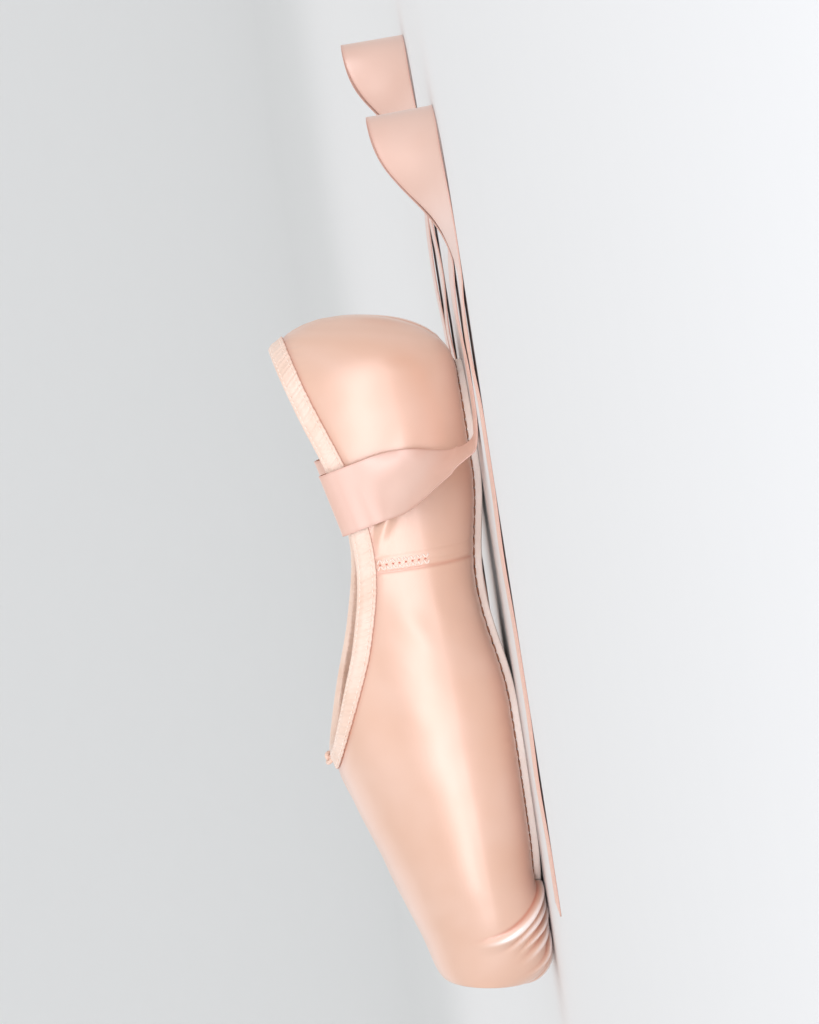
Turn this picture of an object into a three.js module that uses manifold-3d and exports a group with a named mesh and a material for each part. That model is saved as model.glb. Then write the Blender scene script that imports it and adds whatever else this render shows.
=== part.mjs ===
// A pointe shoe standing empty on its sole, in millimetres.
// +X points to the toe, +Y to the shoe's left and +Z up. The origin lies on the floor,
// under the middle of the shoe's length and width. The shoe is the same on both sides.

import * as THREE from 'three';
import { mergeVertices } from 'three/addons/utils/BufferGeometryUtils.js';
import Module from 'manifold-3d';

const wasm = await Module();
wasm.setup();

// Driving sizes
const SHOE_LENGTH = 236;
const HEEL_X = -SHOE_LENGTH / 2;
const TOE_X = SHOE_LENGTH / 2;
const GAP = 0.3;
const QUARTER_WALL = 2;
const BOX_WALL = 3;
const PLEAT_WALL = 5;
const SOLE_THICKNESS = 2.7;
const INSOLE_THICKNESS = 1.6;
const INSOLE_CLEARANCE = 0.5;

// The heel's round back: where it starts, how deep it is, and the height of its furthest point
const HEEL_ROUND_X = -96;
const HEEL_ROUND_DEPTH = HEEL_ROUND_X - HEEL_X;
const HEEL_BULGE_Z = 43;

// The flat toe platform, with the rounding that leads to it and its lean
const TOE_ROUND_X = 106;
const TOE_ROUND_DEPTH = TOE_X - TOE_ROUND_X;
const PLATFORM_HALF_WIDTH = 25.5;
const PLATFORM_SEAT = 12;
const PLATFORM_LOW = 12.7;
const PLATFORM_HIGH = 37.2;
const PLATFORM_MIDDLE = 24;
const TOE_ROUND_POWERS = { side: 3, low: 1.8, top: 4 };
const PLATFORM_LEAN = Math.tan(THREE.MathUtils.degToRad(9));
const LEAN_STARTS_X = 70;

// Sections of the outside of the upper: half width, half width of the flat seat under it,
// height of the widest place, and height of the top of the last
const FORM = [
  { x: -118, half: 24.5, seat: 9, widest: 28, top: 70 },
  { x: -96, half: 28.8, seat: 15, widest: 27, top: 73.5 },
  { x: -80, half: 30.8, seat: 19.5, widest: 26, top: 76 },
  { x: -60, half: 31.2, seat: 19, widest: 25, top: 76 },
  { x: -35, half: 33, seat: 16.5, widest: 24, top: 73 },
  { x: -10, half: 38.6, seat: 20, widest: 23, top: 70.2 },
  { x: 10, half: 42.4, seat: 26.5, widest: 22, top: 68 },
  { x: 30, half: 43.8, seat: 30, widest: 22, top: 65.4 },
  { x: 50, half: 43.5, seat: 28, widest: 21, top: 59.7 },
  { x: 70, half: 41.6, seat: 23, widest: 20, top: 53.2 },
  { x: 90, half: 37.2, seat: 17.5, widest: 19.5, top: 48 },
  { x: 106, half: 31.6, seat: 15, widest: 20.5, top: 43.3 },
  { x: 118, half: 26.6, seat: 13, widest: 22, top: 40.4 },
];
const TOP_POWER = 2.3;

// The collar line and the depth of the drawstring casing along it
const COLLAR = [
  { x: -124, height: 66.4, casing: 6.5 },
  { x: -110, height: 65, casing: 6.5 },
  { x: -90, height: 59.6, casing: 6.5 },
  { x: -60, height: 50, casing: 6.5 },
  { x: -35, height: 47.2, casing: 6.5 },
  { x: -10, height: 52.2, casing: 6.3 },
  { x: 10, height: 59, casing: 5.4 },
  { x: 30, height: 65.4, casing: 3.8 },
  { x: 50, height: 71.8, casing: 3.8 },
];

// The outsole: its two ends, the rounding there, its flat spots, arch and toe spring
const SOLE_TIP_X = 90;
const SOLE_TIP_ROUND = 17;
const SOLE_BACK_X = -97;
const SOLE_BACK_ROUND = 16;
const SOLE_ROUND_POWER = 2.2;
const SEAT_MARGIN = 0.8;
const LASTING_MARGIN = 6;
const ARCH_BACK_X = -62;
const ARCH_FRONT_X = 20;
const ARCH_HEIGHT = 4.6;
const SPRING_START_X = 66;
const SPRING_HEIGHT = 1;
const PLEAT_DROP = 1.9;
const PLEAT_DROP_START_X = 76;
const PLEAT_DROP_END_X = 93;

// The insole board inside
const INSOLE_TIP_X = 103;
const INSOLE_BACK_X = -101;
const INSOLE_ROUND = 20;
const INSOLE_SPREAD = 4;

// The ribbons
const RIBBON_WIDTH = 22;
const RIBBON_THICKNESS = 0.6;
const RIBBON_STEPS = 76;

// How finely the curved pieces are cut into flats
const HEEL_STEPS = 7;
const BODY_STEPS = 27;
const TOE_STEPS = 5;
const SEAT_STEPS = 2;
const CORNER_STEPS = 6;
const DOME_STEPS = 10;
const SLAB_STEPS = 30;
const COLLAR_STEPS = 22;
const CUTTER_REACH = 70;

const COLOURS = {
  satin: 0xf0cdb8,
  casing: 0xf3d6c2,
  leather: 0xc9b39c,
  board: 0xe9dcc6,
  ribbon: 0xf0c9b6,
};

// Plain helpers

function smoothstep(from, to, value) {
  const share = THREE.MathUtils.clamp((value - from) / (to - from), 0, 1);
  return share * share * (3 - 2 * share);
}

// Reads a column of a table at x, with a smooth curve through its rows
function readTable(table, column, x) {
  const last = table.length - 1;
  let row = 0;
  while (row < last - 1 && x > table[row + 1].x) row++;
  const slope = (index) => {
    const before = table[Math.max(index - 1, 0)];
    const after = table[Math.min(index + 1, last)];
    return (after[column] - before[column]) / (after.x - before.x);
  };
  const start = table[row];
  const end = table[row + 1];
  const span = end.x - start.x;
  const t = THREE.MathUtils.clamp((x - start.x) / span, 0, 1);
  const rise = t * t * (3 - 2 * t);
  const fromStart = span * slope(row) * t * (1 - t) * (1 - t);
  const fromEnd = span * slope(row + 1) * t * t * (t - 1);
  return start[column] + rise * (end[column] - start[column]) + fromStart + fromEnd;
}

// A closed surface through rings of points, with a point that closes each end
function loft(rings, startPoint, endPoint) {
  const sides = rings[0].length;
  const points = [...rings.flat(), startPoint, endPoint];
  const startIndex = points.length - 2;
  const endIndex = points.length - 1;
  const lastRing = (rings.length - 1) * sides;
  const index = [];
  for (let side = 0; side < sides; side++) {
    const next = (side + 1) % sides;
    for (let ring = 0; ring < lastRing; ring += sides) {
      index.push(ring + side, ring + next, ring + sides + next);
      index.push(ring + side, ring + sides + next, ring + sides + side);
    }
    index.push(startIndex, next, side);
    index.push(endIndex, lastRing + side, lastRing + next);
  }
  const geometry = new THREE.BufferGeometry();
  geometry.setAttribute('position', new THREE.Float32BufferAttribute(points.flat(), 3));
  geometry.setIndex(signedVolume(points, index) < 0 ? index.reverse() : index);
  return geometry;
}

function signedVolume(points, index) {
  let volume = 0;
  for (let corner = 0; corner < index.length; corner += 3) {
    const [a, b, c] = [0, 1, 2].map((k) => new THREE.Vector3(...points[index[corner + k]]));
    volume += a.dot(b.cross(c));
  }
  return volume;
}

function solidOf(geometry) {
  const plain = geometry.clone();
  plain.deleteAttribute('normal');
  plain.deleteAttribute('uv');
  const merged = mergeVertices(plain);
  return new wasm.Manifold(new wasm.Mesh({
    numProp: 3,
    vertProperties: new Float32Array(merged.attributes.position.array),
    triVerts: new Uint32Array(merged.index.array),
  }));
}

function geometryOf(solid) {
  const mesh = solid.getMesh();
  const geometry = new THREE.BufferGeometry();
  geometry.setAttribute('position', new THREE.BufferAttribute(mesh.vertProperties, 3));
  geometry.setIndex(new THREE.BufferAttribute(mesh.triVerts, 1));
  return geometry;
}

// Underside of the outsole: flat at the heel and the forefoot, arched between them
function soleUnder(x) {
  const archShare = THREE.MathUtils.clamp((x - ARCH_BACK_X) / (ARCH_FRONT_X - ARCH_BACK_X), 0, 1);
  const arch = ARCH_HEIGHT * Math.sin(Math.PI * archShare) ** 2;
  return arch + SPRING_HEIGHT * smoothstep(SPRING_START_X, SOLE_TIP_X, x);
}

// Underside of the upper: it lies on the sole, and its pleats come down around the sole's tip
function upperUnder(x) {
  const drop = PLEAT_DROP * smoothstep(PLEAT_DROP_START_X, PLEAT_DROP_END_X, x);
  return soleUnder(x) + SOLE_THICKNESS + GAP - drop;
}

// The skins of the last: how far each lies inside the upper's outside
const OUTSIDE = { side: () => 0, under: () => 0, end: 0 };
const INSIDE = {
  side: (x) => THREE.MathUtils.lerp(QUARTER_WALL, BOX_WALL, smoothstep(5, 45, x)),
  under: (x) => THREE.MathUtils.lerp(QUARTER_WALL, PLEAT_WALL, smoothstep(60, 85, x)),
  end: BOX_WALL,
};
const CASING_OUTSIDE = { side: () => -GAP, under: () => -GAP, end: -GAP };
const CASING_INSIDE = {
  side: (x) => INSIDE.side(x) + GAP,
  under: (x) => INSIDE.under(x) + GAP,
  end: QUARTER_WALL + GAP,
};

// One section of a skin at x, before the ends are rounded
function plainSection(skin, x) {
  return {
    half: readTable(FORM, 'half', x) - skin.side(x),
    seat: readTable(FORM, 'seat', x),
    low: upperUnder(x) + skin.under(x),
    widest: readTable(FORM, 'widest', x),
    top: readTable(FORM, 'top', x) - skin.side(x),
  };
}

// A section in the heel's round back, shrunk towards the furthest point of the heel
function heelSection(skin, angle) {
  const depth = HEEL_ROUND_DEPTH - Math.min(skin.end, QUARTER_WALL + GAP);
  const x = HEEL_ROUND_X - depth * Math.cos(angle);
  const share = Math.sin(angle);
  const plain = plainSection(skin, x);
  const level = (z) => HEEL_BULGE_Z + share * (z - HEEL_BULGE_Z);
  return {
    x,
    half: share * plain.half,
    seat: share * plain.seat,
    low: level(plain.low),
    widest: level(plain.widest),
    top: level(plain.top),
  };
}

// A section in the rounding of the toe, on the way to the flat platform
function toeSection(skin, angle) {
  const into = Math.sin(angle);
  const x = TOE_ROUND_X + (TOE_ROUND_DEPTH - skin.end) * into;
  const plain = plainSection(skin, x);
  const blend = (flat, value, power) => flat + (1 - into ** power) ** (1 / power) * (value - flat);
  return {
    x,
    half: blend(PLATFORM_HALF_WIDTH - skin.side(x), plain.half, TOE_ROUND_POWERS.side),
    seat: blend(PLATFORM_SEAT, plain.seat, TOE_ROUND_POWERS.side),
    low: blend(PLATFORM_LOW + skin.side(x), plain.low, TOE_ROUND_POWERS.low),
    widest: blend(PLATFORM_MIDDLE, plain.widest, TOE_ROUND_POWERS.low),
    top: blend(PLATFORM_HIGH - skin.side(x), plain.top, TOE_ROUND_POWERS.top),
  };
}

// The points around one section, from under the middle to the top and back on the other side
function sectionRing(section) {
  const half = [];
  for (let step = 0; step < SEAT_STEPS; step++) {
    half.push([section.seat * step / SEAT_STEPS, section.low]);
  }
  for (let step = 0; step < CORNER_STEPS; step++) {
    const angle = Math.PI / 2 * step / CORNER_STEPS;
    const y = section.seat + (section.half - section.seat) * Math.sin(angle);
    half.push([y, section.widest - (section.widest - section.low) * Math.cos(angle)]);
  }
  for (let step = 0; step <= DOME_STEPS; step++) {
    const angle = Math.PI / 2 * step / DOME_STEPS;
    const y = section.half * Math.max(Math.cos(angle), 0) ** (2 / TOP_POWER);
    const rise = Math.sin(angle) ** (2 / TOP_POWER);
    half.push([step === DOME_STEPS ? 0 : y, section.widest + (section.top - section.widest) * rise]);
  }
  const mirrored = half.slice(1, -1).reverse().map(([y, z]) => [-y, z]);
  return [...half, ...mirrored].map(([y, z]) => [leaned(section.x, z), y, z]);
}

// Leans the sections near the toe back, so that the platform tips as it does on the shoe
function leaned(x, z) {
  return x - (z - PLATFORM_LOW) * PLATFORM_LEAN * smoothstep(LEAN_STARTS_X, TOE_ROUND_X, x);
}

function skinSolid(skin) {
  const sections = [];
  for (let step = 1; step < HEEL_STEPS; step++) {
    sections.push(heelSection(skin, Math.PI / 2 * step / HEEL_STEPS));
  }
  for (let step = 0; step < BODY_STEPS; step++) {
    const x = HEEL_ROUND_X + (TOE_ROUND_X - HEEL_ROUND_X) * step / BODY_STEPS;
    sections.push({ x, ...plainSection(skin, x) });
  }
  for (let step = 0; step <= TOE_STEPS; step++) {
    sections.push(toeSection(skin, Math.PI / 2 * step / TOE_STEPS));
  }
  const heelPoint = [heelSection(skin, 0).x, 0, HEEL_BULGE_Z];
  const toePoint = [leaned(sections.at(-1).x, PLATFORM_MIDDLE), 0, PLATFORM_MIDDLE];
  return solidOf(loft(sections.map(sectionRing), heelPoint, toePoint));
}

// Everything above the collar line, lowered by drop at each place
function aboveCollar(drop) {
  const from = COLLAR[0].x;
  const to = COLLAR.at(-1).x;
  const shape = new THREE.Shape();
  shape.moveTo(to, 2 * CUTTER_REACH);
  shape.lineTo(from, 2 * CUTTER_REACH);
  for (let step = 0; step <= COLLAR_STEPS; step++) {
    const x = THREE.MathUtils.lerp(from, to, step / COLLAR_STEPS);
    shape.lineTo(x, readTable(COLLAR, 'height', x) - drop(x));
  }
  const geometry = new THREE.ExtrudeGeometry(shape, { depth: 2 * CUTTER_REACH, bevelEnabled: false });
  geometry.rotateX(Math.PI / 2);
  geometry.translate(0, CUTTER_REACH, 0);
  return solidOf(geometry);
}

const casingDepth = (x) => readTable(COLLAR, 'casing', x);

// A thin piece that lies along the foot, through sections between its back and its tip
function slab({ back, tip, halfWidth, under, over, across }) {
  const rings = [];
  for (let step = 1; step < SLAB_STEPS; step++) {
    const x = (back + tip) / 2 - (tip - back) / 2 * Math.cos(Math.PI * step / SLAB_STEPS);
    const places = [];
    for (let place = -across; place <= across; place++) places.push(halfWidth(x) * place / across);
    const below = places.map((y) => [x, y, under(x, y)]);
    const above = places.map((y) => [x, y, over(x, y)]).reverse();
    rings.push([...below, ...above]);
  }
  const middle = (x) => (under(x, 0) + over(x, 0)) / 2;
  return loft(rings, [back, 0, middle(back)], [tip, 0, middle(tip)]);
}

// How much of its full width a piece with round ends keeps at x
function roundedShare(x, back, backRound, tip, tipRound) {
  const intoBack = Math.max((back + backRound - x) / backRound, 0);
  const intoTip = Math.max((x - tip + tipRound) / tipRound, 0);
  const into = Math.min(Math.max(intoBack, intoTip), 1);
  return (1 - into ** SOLE_ROUND_POWER) ** (1 / SOLE_ROUND_POWER);
}

// The outsole, or the shape that is cut for it when it is grown by clear
function outsoleShape(clear, inset = 0) {
  const back = SOLE_BACK_X - clear + inset;
  const tip = SOLE_TIP_X + clear - inset;
  return {
    back,
    tip,
    across: 4,
    halfWidth: (x) => {
      const share = roundedShare(x, back, SOLE_BACK_ROUND, tip, SOLE_TIP_ROUND);
      return (readTable(FORM, 'seat', x) - SEAT_MARGIN + clear - inset) * share;
    },
    under: (x) => soleUnder(x),
    over: (x) => soleUnder(x) + SOLE_THICKNESS + clear,
  };
}

function makeOutsole() {
  return slab(outsoleShape(0));
}

// The upper: one hollow wall, open along the collar and underneath inside the sole's edge
function makeUpper() {
  const soleSeat = { ...outsoleShape(GAP), under: () => -1 };
  const underOpening = { ...outsoleShape(0, LASTING_MARGIN), under: () => -1 };
  underOpening.over = (x) => upperUnder(x) + PLEAT_WALL + 2;
  const wall = skinSolid(OUTSIDE)
    .subtract(skinSolid(INSIDE))
    .subtract(aboveCollar((x) => casingDepth(x) + GAP))
    .subtract(solidOf(slab(soleSeat)))
    .subtract(solidOf(slab(underOpening)));
  return geometryOf(wall);
}

// The drawstring casing: a band round the collar, a little thicker than the wall below it
function makeCasing() {
  const band = aboveCollar(casingDepth).subtract(aboveCollar(() => 0));
  const ring = skinSolid(CASING_OUTSIDE).subtract(skinSolid(CASING_INSIDE)).intersect(band);
  return geometryOf(ring);
}

// The height of the inside of the upper, near its bottom, at a place beside the middle
function insideFloor(x, y) {
  const section = x < HEEL_ROUND_X
    ? heelSection(INSIDE, Math.acos((HEEL_ROUND_X - x) / (HEEL_ROUND_DEPTH - QUARTER_WALL)))
    : plainSection(INSIDE, x);
  const beyondSeat = Math.max(Math.abs(y) - section.seat, 0) / (section.half - section.seat);
  return section.widest - (section.widest - section.low) * Math.sqrt(1 - beyondSeat ** 2);
}

function makeInsole() {
  return slab({
    back: INSOLE_BACK_X,
    tip: INSOLE_TIP_X,
    across: 6,
    halfWidth: (x) => {
      const share = roundedShare(x, INSOLE_BACK_X, INSOLE_ROUND, INSOLE_TIP_X, INSOLE_ROUND);
      return (readTable(FORM, 'seat', x) + INSOLE_SPREAD) * share;
    },
    under: (x, y) => insideFloor(x, y) + INSOLE_CLEARANCE,
    over: (x, y) => insideFloor(x, y) + INSOLE_CLEARANCE + INSOLE_THICKNESS,
  });
}

// The drawstring's knot: two small loops and a turn between them, at the front of the throat
const KNOT_X = 31.5;
const KNOT_Z = 67.4;
const KNOT_LOOP = { along: 1.7, across: 2.6, up: 1.4, apart: 2.7 };
const KNOT_TURN_RADIUS = 1.7;

function makeKnot() {
  const loops = [-1, 1].map((side) => {
    const loop = new THREE.SphereGeometry(1, 12, 8);
    loop.scale(KNOT_LOOP.along, KNOT_LOOP.across, KNOT_LOOP.up);
    loop.translate(KNOT_X, side * KNOT_LOOP.apart, KNOT_Z);
    return solidOf(loop);
  });
  const turn = new THREE.SphereGeometry(KNOT_TURN_RADIUS, 12, 8);
  turn.translate(KNOT_X, 0, KNOT_Z);
  return geometryOf(loops[0].add(loops[1]).add(solidOf(turn)));
}

// The way of each ribbon, as on the shoe's left: where its middle runs, the height of its
// lower edge, the heading of its width in degrees and how far it stands on edge in degrees.
// It is sewn inside the quarter, turns over the casing, falls and lies loosely on the floor.
const RIBBON_FALL = [
  { x: -61.5, y: 27.9, z: 28.5, heading: 2, onEdge: -13 },
  { x: -59.6, y: 27.1, z: 36.5, heading: 2, onEdge: -13 },
  { x: -57.8, y: 25.3, z: 44, heading: 2, onEdge: -13 },
  { x: -56.9, y: 25.1, z: 48, heading: 2, onEdge: -13 },
  { x: -56.5, y: 27.6, z: 50, heading: 2, onEdge: -13 },
  { x: -56.8, y: 29.9, z: 48.8, heading: 2, onEdge: -13 },
  { x: -57.8, y: 31.1, z: 45, heading: 2, onEdge: -13 },
  { x: -59.1, y: 32.1, z: 39.5, heading: 2, onEdge: -13 },
  { x: -60.7, y: 33.6, z: 32.7, heading: 5, onEdge: -12 },
  { x: -62.2, y: 36.8, z: 25.5, heading: 28, onEdge: -8 },
  { x: -63.8, y: 41, z: 17.7, heading: 58, onEdge: -4 },
  { x: -67, y: 44.6, z: 9.6, heading: 80, onEdge: 0 },
  { x: -74, y: 47.1, z: 3.2, heading: 88, onEdge: 0 },
];
const LEFT_REST = [
  { x: -85, y: 49, z: 0.8, heading: 86, onEdge: 0 },
  { x: -101, y: 51, z: 1.4, heading: 84, onEdge: 0 },
  { x: -119, y: 53, z: 3.4, heading: 85, onEdge: 0 },
  { x: -136, y: 54.3, z: 1.2, heading: 84, onEdge: 0 },
  { x: -151, y: 56.2, z: 0.8, heading: 79, onEdge: 12 },
  { x: -166, y: 60, z: 0.8, heading: 70, onEdge: 38 },
  { x: -178.5, y: 66.5, z: 0.8, heading: 52, onEdge: 68 },
  { x: -186.5, y: 77, z: 0.8, heading: 20, onEdge: 86 },
  { x: -187, y: 89.5, z: 0.8, heading: -16, onEdge: 86 },
  { x: -179.5, y: 100, z: 0.8, heading: -50, onEdge: 68 },
  { x: -167, y: 106, z: 0.8, heading: -72, onEdge: 38 },
  { x: -151.5, y: 108.5, z: 0.8, heading: -84, onEdge: 12 },
  { x: -132, y: 108.5, z: 1.2, heading: -91, onEdge: 0 },
  { x: -111, y: 107.3, z: 3, heading: -93, onEdge: 0 },
  { x: -89, y: 106, z: 0.9, heading: -92, onEdge: 0 },
  { x: -64, y: 105.2, z: 0.8, heading: -90, onEdge: 0 },
  { x: -39, y: 105.7, z: 1.8, heading: -87, onEdge: 0 },
  { x: -13, y: 107.3, z: 0.9, heading: -86, onEdge: 0 },
  { x: 12, y: 109, z: 0.8, heading: -87, onEdge: 0 },
  { x: 36, y: 109.9, z: 1.9, heading: -90, onEdge: 0 },
  { x: 59, y: 109.4, z: 0.8, heading: -92, onEdge: 0 },
  { x: 79, y: 108.4, z: 0.8, heading: -94, onEdge: 0 },
];
const RIGHT_REST = [
  { x: -86, y: 48.7, z: 0.8, heading: 87, onEdge: 0 },
  { x: -104, y: 50, z: 2.8, heading: 84, onEdge: 0 },
  { x: -123, y: 52.5, z: 1, heading: 82, onEdge: 0 },
  { x: -143, y: 56, z: 2.8, heading: 80, onEdge: 0 },
  { x: -162, y: 59.5, z: 1, heading: 79, onEdge: 2 },
  { x: -178, y: 62.5, z: 0.8, heading: 76, onEdge: 22 },
  { x: -193, y: 67, z: 0.8, heading: 66, onEdge: 54 },
  { x: -204, y: 75, z: 0.8, heading: 36, onEdge: 84 },
  { x: -206, y: 87, z: 0.8, heading: -14, onEdge: 88 },
  { x: -197, y: 97, z: 0.8, heading: -58, onEdge: 70 },
  { x: -182, y: 102, z: 0.8, heading: -78, onEdge: 34 },
  { x: -164, y: 104, z: 0.8, heading: -86, onEdge: 8 },
  { x: -142, y: 104.5, z: 1.6, heading: -92, onEdge: 0 },
  { x: -119, y: 103, z: 3, heading: -94, onEdge: 0 },
  { x: -96, y: 101.5, z: 1, heading: -92, onEdge: 0 },
  { x: -71, y: 101.5, z: 0.8, heading: -88, onEdge: 0 },
  { x: -45, y: 103, z: 0.8, heading: -86, onEdge: 0 },
  { x: -20, y: 105, z: 2, heading: -85, onEdge: 0 },
  { x: 3, y: 107, z: 0.8, heading: -86, onEdge: 0 },
  { x: 25, y: 108, z: 0.8, heading: -89, onEdge: 0 },
  { x: 46.5, y: 107.8, z: 0.8, heading: -92, onEdge: 0 },
];

// A smooth curve through the rows of a route, read at a share of its rows
function alongRoute(rows, share) {
  const place = share * (rows.length - 1);
  const row = Math.min(Math.floor(place), rows.length - 2);
  const t = place - row;
  const read = (column) => {
    const value = (index) => rows[THREE.MathUtils.clamp(index, 0, rows.length - 1)][column];
    const [before, start, end, after] = [row - 1, row, row + 1, row + 2].map(value);
    const cubic = 3 * start - before - 3 * end + after;
    const square = 2 * before - 5 * start + 4 * end - after;
    return start + t / 2 * (end - before + t * (square + t * cubic));
  };
  return Object.fromEntries(Object.keys(rows[0]).map((column) => [column, read(column)]));
}

function ribbonMiddle(rows, share) {
  const place = alongRoute(rows, share);
  const standing = RIBBON_WIDTH / 2 * Math.abs(Math.sin(THREE.MathUtils.degToRad(place.onEdge)));
  return new THREE.Vector3(place.x, place.y, place.z + standing);
}

function makeRibbon(rest, side) {
  const rows = [...RIBBON_FALL, ...rest];
  const rings = [];
  for (let step = 0; step <= RIBBON_STEPS; step++) {
    const share = step / RIBBON_STEPS;
    const place = alongRoute(rows, share);
    const heading = THREE.MathUtils.degToRad(place.heading);
    const onEdge = THREE.MathUtils.degToRad(place.onEdge);
    const middle = ribbonMiddle(rows, share);
    const ahead = ribbonMiddle(rows, Math.min(share + 0.002, 1));
    const behind = ribbonMiddle(rows, Math.max(share - 0.002, 0));
    const along = ahead.sub(behind).normalize();
    const wide = new THREE.Vector3(Math.cos(heading), Math.sin(heading), Math.tan(onEdge));
    wide.addScaledVector(along, -wide.dot(along)).normalize();
    const thick = new THREE.Vector3().crossVectors(along, wide);
    const corner = (across, through) => {
      const point = middle.clone();
      point.addScaledVector(wide, across * RIBBON_WIDTH / 2);
      point.addScaledVector(thick, through * RIBBON_THICKNESS / 2);
      return [point.x, side * point.y, point.z];
    };
    rings.push([corner(-1, -1), corner(1, -1), corner(1, 1), corner(-1, 1)]);
  }
  const endOf = (share) => {
    const point = ribbonMiddle(rows, share);
    return [point.x, side * point.y, point.z];
  };
  return loft(rings, endOf(0), endOf(1));
}

// The shoe

const shoe = new THREE.Group();

function addPiece(name, geometry, colour, roughness) {
  const plain = geometry.toNonIndexed();
  plain.computeVertexNormals();
  const material = new THREE.MeshStandardMaterial({ color: colour, roughness, metalness: 0 });
  const piece = new THREE.Mesh(plain, material);
  piece.name = name;
  shoe.add(piece);
}

addPiece('upper', makeUpper(), COLOURS.satin, 0.38);
addPiece('outsole', makeOutsole(), COLOURS.leather, 0.85);
addPiece('insole', makeInsole(), COLOURS.board, 0.9);
addPiece('collar_casing', makeCasing(), COLOURS.casing, 0.5);
addPiece('drawstring_knot', makeKnot(), COLOURS.casing, 0.7);
addPiece('ribbon_left', makeRibbon(LEFT_REST, 1), COLOURS.ribbon, 0.35);
addPiece('ribbon_right', makeRibbon(RIGHT_REST, -1), COLOURS.ribbon, 0.35);

export default shoe;
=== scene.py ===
# %% [markdown]
# # A pointe shoe, empty and standing on its sole
# This lesson makes the looks of a satin pointe shoe. The shape was settled before, as a CAD
# model, and everything here keeps to it. Sizes are written in millimetres, as on a maker's
# drawing, and become Blender's metres where a mesh is made.
# +X points to the toe, +Y to the shoe's left and +Z up, and the floor is at zero.

# %% Load the frame
import math

import bmesh
import bpy
import numpy as np
from mathutils import Matrix, Vector


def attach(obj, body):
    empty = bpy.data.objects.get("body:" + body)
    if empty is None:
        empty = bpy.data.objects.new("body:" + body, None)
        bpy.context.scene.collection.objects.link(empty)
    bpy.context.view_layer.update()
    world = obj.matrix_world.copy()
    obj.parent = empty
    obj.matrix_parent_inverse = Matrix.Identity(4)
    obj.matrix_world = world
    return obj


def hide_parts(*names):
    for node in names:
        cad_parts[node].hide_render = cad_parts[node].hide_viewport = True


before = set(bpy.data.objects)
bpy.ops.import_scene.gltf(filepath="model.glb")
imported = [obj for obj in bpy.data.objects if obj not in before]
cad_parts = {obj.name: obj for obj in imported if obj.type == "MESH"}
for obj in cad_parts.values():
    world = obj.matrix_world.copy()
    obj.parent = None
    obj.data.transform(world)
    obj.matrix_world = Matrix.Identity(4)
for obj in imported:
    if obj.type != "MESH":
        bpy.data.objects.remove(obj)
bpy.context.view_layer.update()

MM = 0.001

# %% [markdown]
# ## The camera
# The photograph shows the shoe standing on its toe, straight from the side. The shoe here
# stands on its sole, so the camera is rolled: the toe points down in the picture. It looks
# at the shoe's left side, a little from the heel end and from just above the floor, with
# a long lens, because a long lens keeps a profile free of perspective.

# %% Make the camera
VIEW_AZIMUTH = math.radians(186)
VIEW_RISE = math.radians(1.5)
VIEW_ROLL = math.radians(-99.0)
VIEW_DISTANCE = 2300
FRAMED_HEIGHT = 352
AIM = Vector((-47.5, 0, 25.8))
SENSOR = 36

back_axis = Vector((
    math.sin(VIEW_AZIMUTH) * math.cos(VIEW_RISE),
    -math.cos(VIEW_AZIMUTH) * math.cos(VIEW_RISE),
    math.sin(VIEW_RISE),
))
camera_data = bpy.data.cameras.new("camera")
camera_data.sensor_width = SENSOR
camera_data.lens = SENSOR * VIEW_DISTANCE / FRAMED_HEIGHT
camera = bpy.data.objects.new("camera", camera_data)
bpy.context.scene.collection.objects.link(camera)
bpy.context.scene.camera = camera
level_turn = (-back_axis).to_track_quat("-Z", "Y").to_matrix()
roll_turn = Matrix.Rotation(VIEW_ROLL, 3, "Z")
camera.rotation_euler = (level_turn @ roll_turn).to_euler()
camera.location = (AIM + back_axis * VIEW_DISTANCE) * MM
print("camera lens in mm:", round(camera_data.lens))

# %% [markdown]
# ## Helpers for meshes
# Most pieces are grids: rows of points swept along the shoe. NumPy works on a whole grid at
# once, which is far quicker than moving vertices one by one. Each piece is welded where its
# grid meets itself, so every mesh is closed. A point attribute called lay tells the material
# how far along and across the cloth a point lies, in millimetres.

# %% Helpers for meshes
def smoothstep(start, end, value):
    share = np.clip((value - start) / (end - start), 0, 1)
    return share * share * (3 - 2 * share)


def bell(value, middle, width):
    return np.exp(-(((value - middle) / width) ** 2))


def unit(vectors):
    return vectors / np.maximum(np.linalg.norm(vectors, axis=-1, keepdims=True), 1e-9)


def run_along(line):
    """How far along a line each of its points lies."""
    return np.concatenate([[0], np.cumsum(np.linalg.norm(np.diff(line, axis=0), axis=1))])


def read_line(at, run, values):
    """The values at some distances along a line, from those at its points."""
    return np.stack([np.interp(at, run, values[:, k]) for k in range(values.shape[1])], -1)


def circles(across, out, sides):
    """Circles with a radius of 1, each in the plane of its two directions."""
    turn = (np.arange(sides) * 2 * np.pi / sides)[:, None]
    return across[:, None] * np.cos(turn) + out[:, None] * np.sin(turn)


def grid_faces(rows, columns, first=0, round_rows=False, round_columns=False):
    """The quads of a grid whose points are stored row by row."""
    row = np.arange(rows if round_rows else rows - 1)[:, None]
    column = np.arange(columns if round_columns else columns - 1)[None, :]
    next_row = (row + 1) % rows
    next_column = (column + 1) % columns
    corners = [
        row * columns + column,
        row * columns + next_column,
        next_row * columns + next_column,
        next_row * columns + column,
    ]
    return (first + np.stack(np.broadcast_arrays(*corners), -1)).reshape(-1, 4).tolist()


def fan_faces(ring, centre):
    """Triangles from a closed ring of point numbers to one centre point."""
    return [[ring[i], ring[(i + 1) % len(ring)], centre] for i in range(len(ring))]


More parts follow.
